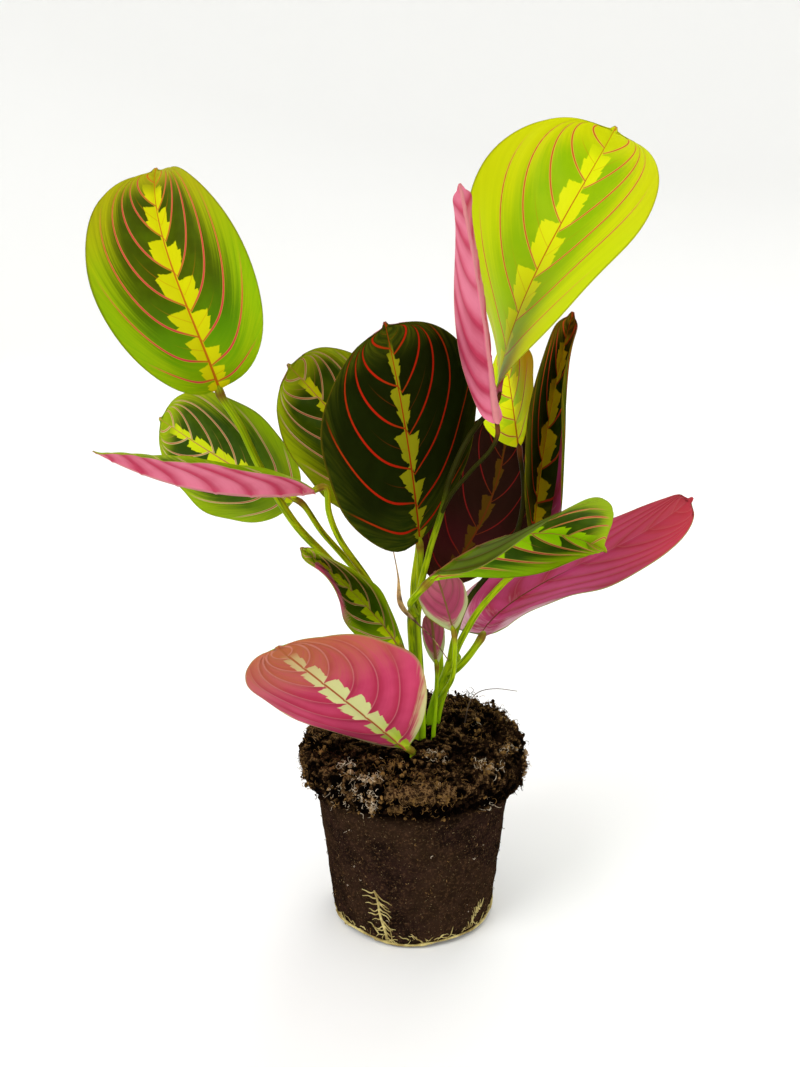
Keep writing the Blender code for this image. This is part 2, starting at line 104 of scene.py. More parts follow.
def turned_faces(rings, around):
    """Quads between rings of points that close on themselves."""
    faces = []
    for start in range(0, (rings - 1) * around, around):
        for spoke in range(start, start + around):
            beside = start + (spoke + 1 - start) % around
            faces.append((spoke, beside, beside + around, spoke + around))
    return faces


# %% [markdown]
# ## Colours and a recipe for materials
# Every finish here is a small sum: a mask says where a colour goes, and a mix puts it there.
# Writing those sums node by node takes many lines, so a recipe wraps one material and adds
# each node with a single call.

# %% Recipe
def colour(code):
    """A linear colour from six hexadecimal digits."""
    parts = [int(code[i:i + 2], 16) / 255 for i in (0, 2, 4)]
    return tuple(c / 12.92 if c <= 0.04045 else ((c + 0.055) / 1.055) ** 2.4 for c in parts)


class Mask:
    """A number for each point of a surface. Sums with masks add maths nodes to the recipe."""

    def __init__(self, recipe, socket):
        self.recipe = recipe
        self.socket = socket

    def sum(self, operation, *values):
        return self.recipe.sum(operation, self, *values)

    __add__ = partialmethod(sum, "ADD")
    __sub__ = partialmethod(sum, "SUBTRACT")
    __mul__ = partialmethod(sum, "MULTIPLY")
    __pow__ = partialmethod(sum, "POWER")
    __abs__ = partialmethod(sum, "ABSOLUTE")

    def __rsub__(self, other):
        return self.recipe.sum("SUBTRACT", other, self)

    def ramp(self, low, high, start=0.0, stop=1.0):
        """start below low, stop above high, and a smooth change between."""
        feeds = {"Value": self, "From Min": low, "From Max": high, "To Min": start,
                 "To Max": stop}
        return self.recipe.add("MapRange", feeds, interpolation_type="SMOOTHSTEP")


class Recipe:
    """One material, and short calls that add nodes to it. Its body is the colour so far."""

    def __init__(self, name, roughness, gloss=0.5):
        self.material = bpy.data.materials.new(name)
        self.material.use_nodes = True
        self.tree = self.material.node_tree
        self.shader = self.tree.nodes["Principled BSDF"]
        self.shader.inputs["Roughness"].default_value = roughness
        self.shader.inputs["Specular IOR Level"].default_value = gloss

    def feed(self, socket, value):
        if isinstance(value, Mask):
            self.tree.links.new(value.socket, socket)
        else:
            socket.default_value = (*colour(value), 1.0) if isinstance(value, str) else value

    def add(self, kind, feeds, output=0, **settings):
        """A new node with these settings and inputs; the result is one of its outputs."""
        node = self.tree.nodes.new("ShaderNode" + kind)
        for name, value in settings.items():
            setattr(node, name, value)
        for name, value in feeds.items():
            self.feed(node.inputs[name], value)
        return Mask(self, node.outputs[output])

    def read(self, name):
        return self.add("Attribute", {}, "Fac", attribute_name=name)

    def sum(self, operation, *values):
        return self.add("Math", dict(enumerate(values)), operation=operation)

    def mix(self, share, under, over):
        return self.add("Mix", {0: share, 6: under, 7: over}, 2, data_type="RGBA")

    def place_at(self, *values):
        return self.add("CombineXYZ", dict(enumerate(values)))

    def cloud(self, scale, detail=3.0, rough=0.55, place=None):
        """Soft noise from 0 to 1, read at the point's own place or at another."""
        place = place or self.add("TexCoord", {}, "Object")
        feeds = {"Vector": place, "Scale": scale, "Detail": detail, "Roughness": rough}
        return self.add("TexNoise", feeds, "Fac")

    def bump(self, height, strength, distance):
        feeds = {"Strength": strength, "Distance": distance, "Height": height}
        self.feed(self.shader.inputs["Normal"], self.add("Bump", feeds))

    def coat(self, share, over):
        """Lays one more colour over the body where the share is above 0."""
        self.body = self.mix(share, self.body, over)

    def finish(self):
        self.feed(self.shader.inputs["Base Color"], self.body)
        return self.material


# %% Studio bowl
FLOOR_RADIUS = 1500.0
WALL_RADIUS = 2600.0
WALL_HEIGHT = 1900.0
WALL_STEPS = 16
BOWL_AROUND = 96


def bowl_profile():
    """(radius, height) from the middle of the floor to the top of the wall."""
    profile = [(1.0, 0.0), (FLOOR_RADIUS, 0.0)]
    for step in range(1, WALL_STEPS + 1):
        turn = math.radians(90 * step / WALL_STEPS)
        profile.append((FLOOR_RADIUS + (WALL_RADIUS - FLOOR_RADIUS) * math.sin(turn),
                        WALL_HEIGHT * (1 - math.cos(turn))))
    return profile


turns = [2 * math.pi * k / BOWL_AROUND for k in range(BOWL_AROUND)]
bowl_points = [(radius * math.cos(turn), radius * math.sin(turn), height)
               for radius, height in bowl_profile() for turn in turns]
bowl_faces = turned_faces(len(bowl_profile()), BOWL_AROUND)
paper = Recipe("paper", 0.9)
paper.body = "f7f7f5"
bowl = mesh_piece("studio_bowl", bowl_points, bowl_faces, [paper.finish()])
print("bowl:", 2 * WALL_RADIUS, "mm across")


# %% Lights
def soft_light(name, place, aim, size, watts):
    light = bpy.data.lights.new(name, "AREA")
    light.shape = "DISK"
    light.size = size
    light.energy = watts
    lamp = bpy.data.objects.new(name, light)
    lamp.location = place
    lamp.rotation_euler = (Vector(aim) - Vector(place)).to_track_quat("-Z", "Y").to_euler()
    bpy.context.scene.collection.objects.link(lamp)


plant_middle = (0.0, 0.0, 0.17)
soft_light("window", (-1.0, -0.9, 1.3), plant_middle, 1.0, 15.0)
soft_light("fill", (1.2, -0.9, 0.7), plant_middle, 1.2, 4.0)
soft_light("back", (0.4, 1.1, 1.2), plant_middle, 1.0, 8.0)
world = bpy.data.worlds.new("studio")
world.use_nodes = True
sky = world.node_tree.nodes["Background"].inputs
sky["Color"].default_value = (1.0, 1.0, 1.0, 1.0)
sky["Strength"].default_value = 0.8
bpy.context.scene.world = world
print("lamps:", len(bpy.data.lights))

# %% [markdown]
# ## The form of a leaf
# A leaf is described the way it grows: where its blade leaves the stalk, which way the
# midrib sets off, how far it bends back, sways and twists on its way to the tip, and how
# far each half folds up from flat. Marching along the midrib with those turns gives a
# frame at every step, and the blade hangs on these frames.

# %% Leaf values
@dataclass
class Leaf:
    """One blade: lengths in millimetres, angles in degrees, fold and curl left then right."""

    name: str
    base: tuple
    heading: float
    rise: float
    roll: float
    length: float
    width: float
    arch: float = 0.0
    sway: float = 0.0
    late_sway: float = 0.0
    twist: float = 0.0
    fold: tuple = (5.0, 5.0)
    closing: float = 0.0
    curl: tuple = (0.0, 0.0)
    belly: float = 0.95
    blunt: float = 0.58
    lean: float = 0.0
    veins: int = 8
    sweep: float = 1.0
    pleat: float = 1.0
    paint: str = "green"
    under: str = "pink"
    slot: str = "leaf_green"


LEAVES = [
    Leaf("leaf_left_top", (-71, -8, 220), 236, 68, -116, 88, 62, arch=67, sway=-22, late_sway=1.25,
         twist=-28, fold=(19, 33), curl=(7, 7), belly=0.94, veins=9, paint="olive"),
    Leaf("leaf_left_middle", (-46, 6, 174), 182, 29, -117, 62, 57, arch=24, sway=9, twist=11,
         fold=(-3, 7), closing=-3, curl=(-2, -2), blunt=0.42),
    Leaf("leaf_left_folded", (-36, -22, 186), -171, -7, 10, 81, 34, arch=-38, sway=-4,
         fold=(52, 50), closing=-9, curl=(-23, -23), blunt=0.62, sweep=0.45, pleat=1.7,
         slot="leaf_underside"),
    Leaf("leaf_left_low", (-6, -19, 124), 130, 36, -73, 56, 43, arch=-71, sway=-8, twist=23,
         fold=(71, 31), closing=26, curl=(9, 9), blunt=0.6, veins=7),
    Leaf("leaf_middle_back", (-2, 11, 171), 190, 53, -35, 73, 62, sway=6, twist=-20, fold=(4, 4),
         curl=(-6, -6), blunt=0.39),
    Leaf("leaf_middle_dark", (2, -11, 163), 246, 78, -98, 87, 79, arch=4, sway=6, twist=-26,
         fold=(6, 4), closing=-5, curl=(-4, -4), belly=0.98, blunt=0.47, veins=7, paint="dark",
         slot="leaf_dark"),
    Leaf("leaf_top_large", (31, 2, 217), -60, 79, 59, 108, 81, arch=53, sway=16, twist=83,
         fold=(-5, 14), closing=8, curl=(-2, -2), belly=0.98, blunt=0.42, lean=0.09, paint="lime"),
    Leaf("leaf_top_folded", (28, -34, 213), 166, 83, 113, 81, 50, sway=-6, twist=-16,
         fold=(72, 58), closing=8, curl=(19, 19), belly=0.97, blunt=0.65, sweep=0.5, pleat=2.0,
         slot="leaf_underside"),
    Leaf("leaf_front_spread", (6, -33, 155), 4, 42, 118, 73, 52, arch=20, sway=-78, twist=-77,
         fold=(70, 3), closing=14, curl=(9, 9), belly=1.2, blunt=0.67, lean=0.4, sweep=0.8,
         paint="fresh", under="olive"),
    Leaf("leaf_right_small", (40, 7, 195), 100, 56, -57, 46, 37, arch=7, sway=9, fold=(4, 28),
         closing=-13, curl=(-7, -7), belly=1.05, blunt=0.62, veins=6, paint="yellow"),
    Leaf("leaf_right_maroon", (10, 19, 135), 35, 34, 3, 82, 66, arch=-52, sway=12, twist=4,
         fold=(6, 8), closing=2, curl=(7, 7), blunt=0.53, veins=7, paint="maroon", under="deep",
         slot="leaf_dark"),
    Leaf("leaf_right_upright", (46, 3, 160), -25, 87, 138, 88, 60, arch=-6, sway=-8, twist=-27,
         fold=(56, 70), closing=2, curl=(4, 49), belly=0.79, veins=7, paint="dusk", under="deep",
         slot="leaf_dark"),
    Leaf("leaf_right_spread", (27, -4, 122), 62, 20, -171, 105, 64, arch=46, sway=40,
         late_sway=-2.66, twist=3, fold=(-44, 19), closing=19, curl=(-3, -3), belly=0.94,
         blunt=0.35, veins=9, under="deep", pleat=0.45, slot="leaf_underside"),
    Leaf("leaf_young", (14, -26, 133), 117, 58, 211, 23, 25, arch=4, sway=-10, twist=-31,
         fold=(7, 5), closing=-8, curl=(-5, -5), belly=0.97, veins=6, under="young",
         slot="leaf_underside"),
    Leaf("leaf_bud", (9, 0, 109), -142, 83, 48, 24, 9, arch=9, fold=(14, 13), belly=0.94, veins=5,
         under="young", slot="leaf_underside"),
    Leaf("leaf_front_low", (-3, -20, 82), -166, 45, 59, 82, 67, arch=28, sway=20, twist=10,
         fold=(-9, 3), closing=-4, curl=(30, 30), belly=1.0, blunt=0.59, under="rose",
         slot="leaf_underside"),
]
print("leaves:", len(LEAVES))

# %% March along the midrib
MIDRIB_STEPS = 48


def unit(vectors):
    return vectors / np.maximum(np.linalg.norm(vectors, axis=-1, keepdims=True), 1e-9)


def midrib_frames(leaf):
    """Rows of (point, along, left, up) along the midrib; up leaves the upper face."""
    heading, rise, roll = (math.radians(a) for a in (leaf.heading, leaf.rise, leaf.roll))
    flat = math.cos(rise)
    along = Vector((flat * math.cos(heading), flat * math.sin(heading), math.sin(rise)))
    left = Vector((-math.sin(heading), math.cos(heading), 0.0))
    left.rotate(Quaternion(along, roll))
    up = along.cross(left)
    point = Vector(leaf.base)
    frames = [np.array([point, along, left, up])]
    for index in range(MIDRIB_STEPS):
        spread = 1 + leaf.late_sway * (2 * (index + 0.5) / MIDRIB_STEPS - 1)
        turn = left * leaf.arch + up * leaf.sway * spread + along * leaf.twist
        angle = math.radians(turn.length) / MIDRIB_STEPS
        halfway = Quaternion(turn, 0.5 * angle) if angle else Quaternion()
        point = point + (halfway @ along) * (leaf.length / MIDRIB_STEPS)
        whole = halfway @ halfway
        along, left, up = whole @ along, whole @ left, whole @ up
        frames.append(np.array([point, along, left, up]))
    return np.array(frames)


def frames_at(frames, s):
    place = np.clip(s, 0.0, 1.0) * MIDRIB_STEPS
    index = np.minimum(place.astype(int), MIDRIB_STEPS - 1)
    share = (place - index)[..., None, None]
    return frames[index] * (1 - share) + frames[index + 1] * share


# %% [markdown]
# ## A blade with its ribs
# The outline is a rounded oval with a small drip tip. Side veins leave the midrib, sweep
# towards the tip and run on along the margin, so the grid of the blade is bent the same
# way: one grid line runs down each vein. The sheet sinks at a vein and puffs up between
# two, and below it each vein is a raised rib. Upper and lower face are made point by
# point and sewn together round the margin.

# %% Outline and vein lines
def half_width(leaf, s):
    q = np.clip(s / 0.975, 0.0, 1.0)
    body = 0.5 * leaf.width * np.maximum(np.sin(math.pi * q ** leaf.belly), 0.0) ** leaf.blunt
    tip = np.minimum(0.3 + 0.6 * (1 - s) * leaf.length, 3.0)
    end = np.where(s > 0.5, tip, 1.2)
    return (body ** 4 + end ** 4) ** 0.25


def smooth_step(value, low, high):
    t = np.clip((value - low) / (high - low), 0.0, 1.0)
    return t * t * (3 - 2 * t)


def vein_start(row):
    """Where along the midrib a vein leaves it: crowded near the stalk, then evenly spaced."""
    eased = row ** 1.15
    return 0.5 * eased + 0.25 * (1 - np.cos(math.pi * eased))


def vein_line(start, out, sweep=1.0):
    """How far along the blade a vein has come, at out from the midrib, 0, to the margin, 1.
    A low vein runs outwards and then turns up along the margin, a high one turns up at once."""
    straight = np.minimum(0.13 + 0.89 * start, 0.95)
    delay = np.maximum(4.0 - 4.8 * start, 1.0)
    turn = smooth_step(out, 0.0, 1.13 - 0.53 * start) ** delay
    climb = sweep * (straight * out + (1 - straight) * turn)
    return start + (1 - start) * (1 - (1 - start) ** 6) * climb


print("a vein from mid-leaf reaches", round(float(vein_line(np.array(0.5), 0.7)), 2), "at the side")

# %% Blade surface
RIB_HEIGHT = 0.45
MARGIN_WAVE = 0.9
THIN = 0.42
ROWS_PER_VEIN = 12
HALF_ACROSS = 30


def blade_grid(leaf, half_across, rows):
    """The blade's middle surface row by row, the way up at each point, and the paint's notes."""
    row = np.linspace(0.0, 1.0, rows + 1)[:, None]
    across = np.linspace(-1.0, 1.0, 2 * half_across + 1)[None, :]
    out = np.abs(across)
    side = np.where(across < 0, -1.0, 1.0)
    start = vein_start(row)
    s = vein_line(start, out, leaf.sweep)
    width = half_width(leaf, s)
    fold = np.where(side > 0, *leaf.fold) + leaf.closing * s
    fold = np.radians(fold) * np.tanh(width / (0.15 * leaf.width))
    curl = np.radians(np.where(side > 0, *leaf.curl))
    curl = np.where(np.abs(curl) < 1e-6, 1e-6, curl)
    turn = fold + curl * out
    reach = width * (1 + side * leaf.lean)
    sideways = reach * (np.sin(turn) - np.sin(fold)) / curl
    lift = reach * (np.cos(fold) - np.cos(turn)) / curl
    size = min(leaf.width / 60, 1.0)
    phase = leaf.veins * row + 0.22 * (side < 0)
    puff = 2 * np.abs(np.sin(math.pi * phase)) ** 0.8 - 1
    puff = puff * np.minimum(1.0, 5 * out) * np.sin(math.pi * start) ** 0.5 * (1 - 0.6 * out)
    wave = np.sin(5 * math.pi * s + side + leaf.length) * out ** 3
    wave = MARGIN_WAVE * size * wave * np.sin(math.pi * np.minimum(s, 1.0))
    lift = lift + RIB_HEIGHT * leaf.pleat * size * puff + wave
    place = frames_at(midrib_frames(leaf), s)
    points = (place[:, :, 0] + place[:, :, 2] * (side * sideways)[..., None]
              + place[:, :, 3] * lift[..., None])
    pitch = np.maximum(np.gradient(start, row[:, 0], axis=0) / leaf.veins, 0.02)
    notes = {"along": s, "across": across + 0 * s, "phase": phase + 0 * s,
             "reach": reach * out, "rise": (s - start) / pitch}
    return points, place[:, :, 3], notes


# %% Spacing and normals
def grid_normals(points, up):
    normal = unit(np.cross(np.gradient(points, axis=1), np.gradient(points, axis=0)))
    facing = np.sum(normal * up, axis=2, keepdims=True)
    normal = np.where(facing < 0, -normal, normal)
    return unit(np.where(np.abs(facing) < 0.1, up, normal))


def vein_spacing(points, phase):
    """Millimetres from one vein to the next at each point, measured square to the veins."""
    down = np.gradient(points, axis=0)
    along = unit(np.gradient(points, axis=1))
    square = down - along * np.sum(down * along, axis=2, keepdims=True)
    step = np.gradient(phase, axis=0)
    return np.linalg.norm(square, axis=2) / np.maximum(step, 1e-9)


# %% Sew the two faces together
def blade_faces(rows, columns):
    """Upper faces, lower faces and the margin's, for two grids of the same size."""
    size = rows * columns
    grid = np.arange(size).reshape(rows, columns)
    corners = (grid[:-1, :-1], grid[1:, :-1], grid[1:, 1:], grid[:-1, 1:])
    upper = np.stack(corners, axis=2).reshape(-1, 4).tolist()
    lower = [(a + size, d + size, c + size, b + size) for a, b, c, d in upper]
    loop = np.concatenate([grid[0], grid[1:, -1], grid[-1, -2::-1], grid[-2:0:-1, 0]]).tolist()
    margin = [(a, a + size, b + size, b) for a, b in zip(loop, loop[1:] + loop[:1])]
    return upper, lower, margin


RIB_DEPTH = 0.3
MIDRIB_DEPTH = 1.3
GROOVE_DEPTH = 0.25


def make_blade(leaf, upper_skin, lower_skin):
    """The middle surface made thick, with a groove above and ribs below."""
    half_across = HALF_ACROSS if leaf.length > 40 else 14
    points, up, notes = blade_grid(leaf, half_across, ROWS_PER_VEIN * leaf.veins)
    normal = grid_normals(points, up)
    spacing = notes["spacing"] = vein_spacing(points, notes["phase"])
    nearest = np.abs(notes["phase"] - np.round(notes["phase"])) * spacing
    out, reach = np.abs(notes["across"]), notes["reach"]
    small = min(leaf.length / 80, 1.0)
    rib = RIB_DEPTH * small * min(leaf.pleat, 1.0) * np.exp(-(nearest / 0.6) ** 2)
    rib = rib * (1 - out) ** 0.5
    midrib = MIDRIB_DEPTH * small * np.exp(-(reach / 0.9) ** 2) * (1.03 - notes["along"]) ** 0.8
    groove = GROOVE_DEPTH * small * np.exp(-(reach / 0.5) ** 2)
    thick = THIN * (0.5 + 0.5 * np.sqrt(1 - out ** 6))
    top = points + normal * (0.5 * thick - groove)[..., None]
    under = points - normal * (0.5 * thick + rib + midrib)[..., None]
    upper, lower, margin = blade_faces(*out.shape)
    which = [0] * len(upper) + [1] * len(lower) + [0] * len(margin)
    both = np.concatenate([top.reshape(-1, 3), under.reshape(-1, 3)])
    notes = {note: np.stack([values, values]) for note, values in notes.items()}
    return mesh_piece(leaf.name + "_blade", both, upper + lower + margin,
                      [upper_skin, lower_skin], which, notes)


# %% [markdown]
# ## Painting the herringbone
# On the upper face each stretch between two side veins repeats one figure: a lime lobe
# along the midrib with a few sharp teeth, a dark blotch beyond it that frays towards the
# margin, and a red vein with a pale edge. It could be painted by hand as an image, but an
# image blurs up close. Here it is all worked out from the place in the stretch and the
# millimetres from the midrib, so the figure stays sharp at any size.

# %% Colours of the upper faces
@dataclass
class Paint:
    """One kind of upper face. Its colours are those of the lime lobes, the blotch, the blotch
    low on the leaf, the margin, the margin at the tip, a vein, its edge, and the midrib. Then
    come millimetres, and shares of the way from the midrib to the margin."""

    colours: str
    lime_reach: float
    blotch_end: float
    vein_width: float
    edge_width: float
    vein_end: float
    narrowing: float = 0.25
    tip_taper: float = 0.9
    thin_share: float = 0.6
    gloss: float = 0.04


PAINTS = {
    "olive": Paint(
        "c6c404 3c4800 508400 7ca402 989208 c0383c b89430 b4640c",
        9.0, 0.78, 0.34, 0.22, 0.94),
    "green": Paint(
        "bccc0a 2a4200 3c5c00 80a006 869c08 a44c38 c8b87c a8783c",
        7.0, 0.86, 0.26, 0.34, 0.97, narrowing=0.5),
    "dark": Paint(
        "8c8c12 161c04 181e06 26360a 2a3408 ac200c 54260a 98340c",
        9.5, 1.05, 0.42, 0.16, 0.98, narrowing=1.1, tip_taper=1.1, thin_share=0.3, gloss=0.0),
    "dusk": Paint(
        "dcc814 2a3a08 32380a 48540e 443c0c d84428 8c5420 c4541c",
        10.5, 1.0, 0.34, 0.24, 0.98, narrowing=0.5, thin_share=0.3, gloss=0.0),
    # painted shade: the maroon leaf sits in the shade of the leaves above, so its colours are
    # darkened here
    "maroon": Paint(
        "4a340a 22120c 3a1416 2a160c 26180a 6c1816 2c100a 5c280e",
        6.5, 1.05, 0.28, 0.1, 0.9, narrowing=1.1, tip_taper=1.15, thin_share=0.0, gloss=0.0),
    "lime": Paint(
        "ccd206 84a800 9cc000 b4c802 b8bc02 b8501c d0a040 b0640c",
        10.5, 0.62, 0.28, 0.3, 0.9),
    # painted light: lighter than the leaf's own yellow, making up for the shade of the leaves above
    # and for light shining through the blade
    "yellow": Paint(
        "e6ee08 94c404 b4dc04 d4e804 c8dc04 b0521c d8b85c c0780c",
        10.0, 0.5, 0.26, 0.24, 0.86),
    "fresh": Paint(
        "98c804 2e4408 3c6806 78a006 90a808 b8483c c8a84c a86c30",
        11.0, 0.8, 0.36, 0.3, 0.88, narrowing=0.4),
}


# %% What a leaf's paint reads
class LeafRecipe(Recipe):
    """A recipe that starts with a leaf's own measures. One stretch lies between two veins."""

    def __init__(self, name, gloss=0.04):
        super().__init__(name, 0.5, gloss)
        across = self.read("across")
        self.out = abs(across)
        for measure in ("phase", "spacing", "reach", "along"):
            setattr(self, measure, self.read(measure))
        self.place = self.phase.sum("FRACT")
        self.level = self.place + self.read("rise")
        self.nearest = self.place.sum("MINIMUM", 1.0 - self.place) * self.spacing
        stretch = self.phase.sum("FLOOR") + across.sum("SIGN") * 9.3
        self.chance = self.cloud(1.3, 0.0, place=self.place_at(stretch, 3.7))
        self.other_chance = self.cloud(1.3, 0.0, place=self.place_at(stretch, 8.1, 5.0))
        self.streak = self.cloud(1.0, 4.0, place=self.place_at(self.phase * 7.0, self.out * 2.2))

    def lobes(self, reach_mm, narrowing=0.25, tip_taper=0.9):
        """The share of the toothed lobes along the midrib. Each starts on a vein, widens
        towards the tip, and is cut off square just below the next vein."""
        wobble = (self.cloud(260.0) - 0.5) * 0.5
        level = self.level + wobble * 0.4
        tooth = (level * 2.3 + self.chance * 3.0).sum("FRACT") ** 0.7
        lobe = 1.0 - (1.0 - level) * narrowing + tooth * 0.24
        lobe = lobe + (self.other_chance + wobble) * 0.5
        foot = self.along * 1.1 + 0.5
        tip = 1.25 - self.along * tip_taper
        lobe = (lobe - 0.3) * (foot.sum("MINIMUM", tip) * (reach_mm * 0.85))
        stop = self.chance * 0.5 + 0.66
        inside = ((level - stop) * self.spacing).ramp(-0.15, 0.2, 1.0, 0.0)
        near = (self.reach - lobe).ramp(-0.2, 0.2, 1.0, 0.0)
        core = self.reach.sum("DIVIDE", reach_mm).ramp(0.06, 0.11, 1.0, 0.0)
        shown = (inside * near).sum("MAXIMUM", core)
        return shown * self.along.ramp(0.84, 0.93, 1.0, 0.0)


# %% Upper face
def upper_face(name, paint):
    """From below: margin, blotch, lobes, edges and veins, thin veins, midrib and rim."""
    skin = LeafRecipe(name, paint.gloss)
    along, out = skin.along, skin.out
    lime, dark, low_dark, rim, tip_rim, red, pale, rust = paint.colours.split()
    fray = out + (skin.streak - 0.5) * 0.4
    blotch = fray.ramp(paint.blotch_end - 0.3, paint.blotch_end + 0.12, 1.0, 0.0)
    blotch = blotch * along.ramp(0.82, 0.94, 1.0, 0.05) * along.ramp(0.02, 0.3, 0.25, 1.0)
    margin = skin.mix(along.ramp(0.35, 0.85), rim, tip_rim)
    skin.body = skin.mix(skin.streak.ramp(0.35, 0.75, 0.0, 0.25), margin, lime)
    skin.coat(blotch, skin.mix(along.ramp(0.15, 0.5), low_dark, dark))
    skin.coat(skin.cloud(90.0).ramp(0.35, 0.75, 0.0, 0.15), rim)
    skin.coat(skin.lobes(paint.lime_reach, paint.narrowing, paint.tip_taper), lime)

    width = out.ramp(0.0, 0.3, 0.6, 1.0) * out.ramp(0.4, paint.vein_end, 1.0, 0.6)
    off = skin.nearest - width * paint.vein_width
    shown = out.ramp(paint.vein_end - 0.2, paint.vein_end, 1.0, 0.0)
    shown = skin.spacing.ramp(0.7, 2.2) * shown
    edge = off.ramp(0.3 * paint.edge_width, paint.edge_width, 0.85, 0.0)
    skin.coat(edge * shown, pale)
    warm = skin.mix(skin.reach.ramp(2.0, 8.0), rust, red)
    warm = skin.mix(out.ramp(0.5, 0.85, 0.0, 0.8), warm, rust)
    skin.coat(off.ramp(-0.1, 0.08, 1.0, 0.0) * shown, warm)

    between = abs(skin.place - 0.47) * skin.spacing
    thin = between.ramp(0.08, 0.2, 0.7, 0.0) * out.ramp(0.2, 0.45, 1.0, 0.0)
    skin.coat(thin * skin.chance.ramp(0.5, 0.53, 0.0, paint.thin_share), rust)
    rib = skin.reach - (0.6 - along * 0.5)
    skin.coat(rib.ramp(-0.12, 0.12, 1.0, 0.0), rust)
    skin.coat(out.ramp(0.975, 1.0, 0.0, 0.4), "7c6c18")
    skin.bump(skin.streak, 0.2, 0.0003)
    return skin.finish()


UPPER = {kind: upper_face("upper_" + kind, paint) for kind, paint in PAINTS.items()}
print("upper faces:", ", ".join(UPPER))


# %% [markdown]
# ## The pink undersides
# Below, the blade is pink to crimson. The lobes show through as a pale herringbone, the
# veins are fine paler ridges, and the foot of the blade stays whitish green. The same
# measures drive this paint, so both faces of a leaf agree.

# %% Colours of the undersides
@dataclass
class Underside:
    """One kind of underside. Its colours are the light and deep pink, the pale foot and lobes,
    the midrib, a vein and the tip. The rest are shares of the blade, and one reach in mm."""

    colours: str
    tip_share: float = 0.0
    vein_share: float = 0.35
    lobe_mm: float = 0.0
    foot: float = 0.05
    pale_margin: float = 0.0
    # share of painted shade at the veins and painted light on the pleats' crests
    crease_shade: float = 0.5
    rib_end: float = 1.1


UNDERSIDES = {
    "pink": Underside("da7890 b43854 d8c8a0 c87c80 c04c66 a85a3c", vein_share=0.2, foot=0.02,
                      crease_shade=0.6),
    "rose": Underside("c8466a a82c48 ccd08c a45a34 e0a0a0 aa6438", 0.9, 0.25, lobe_mm=7.5,
                      foot=0.02, pale_margin=0.42),
    "deep": Underside("c04478 a02c40 e0b8c4 6c3a1c e0a0a0 b83840", 0.9, 0.1, foot=0.12,
                      pale_margin=0.25, rib_end=0.5),
    "young": Underside("c4587a 9c4058 b4c084 7a5a34 6c5844 a87c60", 0.3, 0.25, foot=0.16,
                       pale_margin=0.6, crease_shade=0.2),
    "olive": Underside("5c7410 3c4408 7c9c14 8c5c2c 8c5c2c 5c5010", 0.5),
}


# %% Lower face
def lower_face(name, paint):
    """From below: pink with painted pleat shade, warmer tip, pale foot and margin, lobes, veins,
    rim and midrib.
    """
    skin = LeafRecipe(name)
    along, out = skin.along, skin.out
    light, deep, pale, brown, crimson, warm = paint.colours.split()
    wander = skin.cloud(45.0)
    hollow = abs(skin.place - 0.5) * 2.0
    # painted shade and light of the pleats: deeper at the veins, lighter between them, with random
    # tone
    tone_and_pleat_shade = (1.0 - hollow * hollow) * paint.crease_shade + wander + skin.streak * 0.3
    skin.body = skin.mix(tone_and_pleat_shade.ramp(0.6, 1.1 + 0.6 * paint.crease_shade), deep, light)
    ragged = (skin.streak + wander) * 0.4
    skin.coat((along + ragged).ramp(0.8, 1.4, 0.0, paint.tip_share), warm)
    foot = along + ragged - out ** 3.0 * paint.pale_margin
    skin.coat(foot.ramp(paint.foot + 0.2, paint.foot + 0.42, 0.9, 0.0), pale)
    if paint.lobe_mm:
        lime = skin.mix(along.ramp(0.02, 0.3), "a4c020", pale)
        skin.coat(skin.lobes(paint.lobe_mm) * along.ramp(0.5, 0.95, 0.95, 0.4), lime)
    vein = skin.nearest.ramp(0.08, 0.34, paint.vein_share, 0.0)
    skin.coat(vein * out.ramp(0.6, 0.95, 1.0, 0.2), crimson)
    skin.coat(out.ramp(0.96, 1.0, 0.0, 0.6), "a89858")
    rib = skin.reach.ramp(0.35, 0.6, 1.0, 0.0)
    skin.coat(rib * along.ramp(paint.rib_end - 0.15, paint.rib_end, 1.0, 0.1), brown)
    skin.bump(skin.streak, 0.2, 0.0003)
    return skin.finish()


LOWER = {kind: lower_face("lower_" + kind, paint) for kind, paint in UNDERSIDES.items()}
print("undersides:", ", ".join(LOWER))

# %% Make the leaves
for leaf in LEAVES:
    blade = make_blade(leaf, UPPER[leaf.paint], LOWER[leaf.under])
    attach(blade, "root")
    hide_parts(leaf.name)
    print(leaf.name, len(blade.data.polygons), "faces")

# %% [markdown]
# ## Stalks
# A stalk is a smooth tube: thick and pale where it leaves the soil, slimmer above, with a
# swollen joint just under its blade that turns the leaf to the light. The stalks of one
# shoot grow out of each other, so each shoot is one piece.

# %% Stalk routes
@dataclass
class Stalk:
    """A tube through its points, thickest at its foot, and darkened above a given height with
    painted shade, where the leaves above shadow it. It may end at a leaf."""

    points: list
    foot: float
    top: float
    leaf: str = ""
    painted_shade_from: float = 400.0


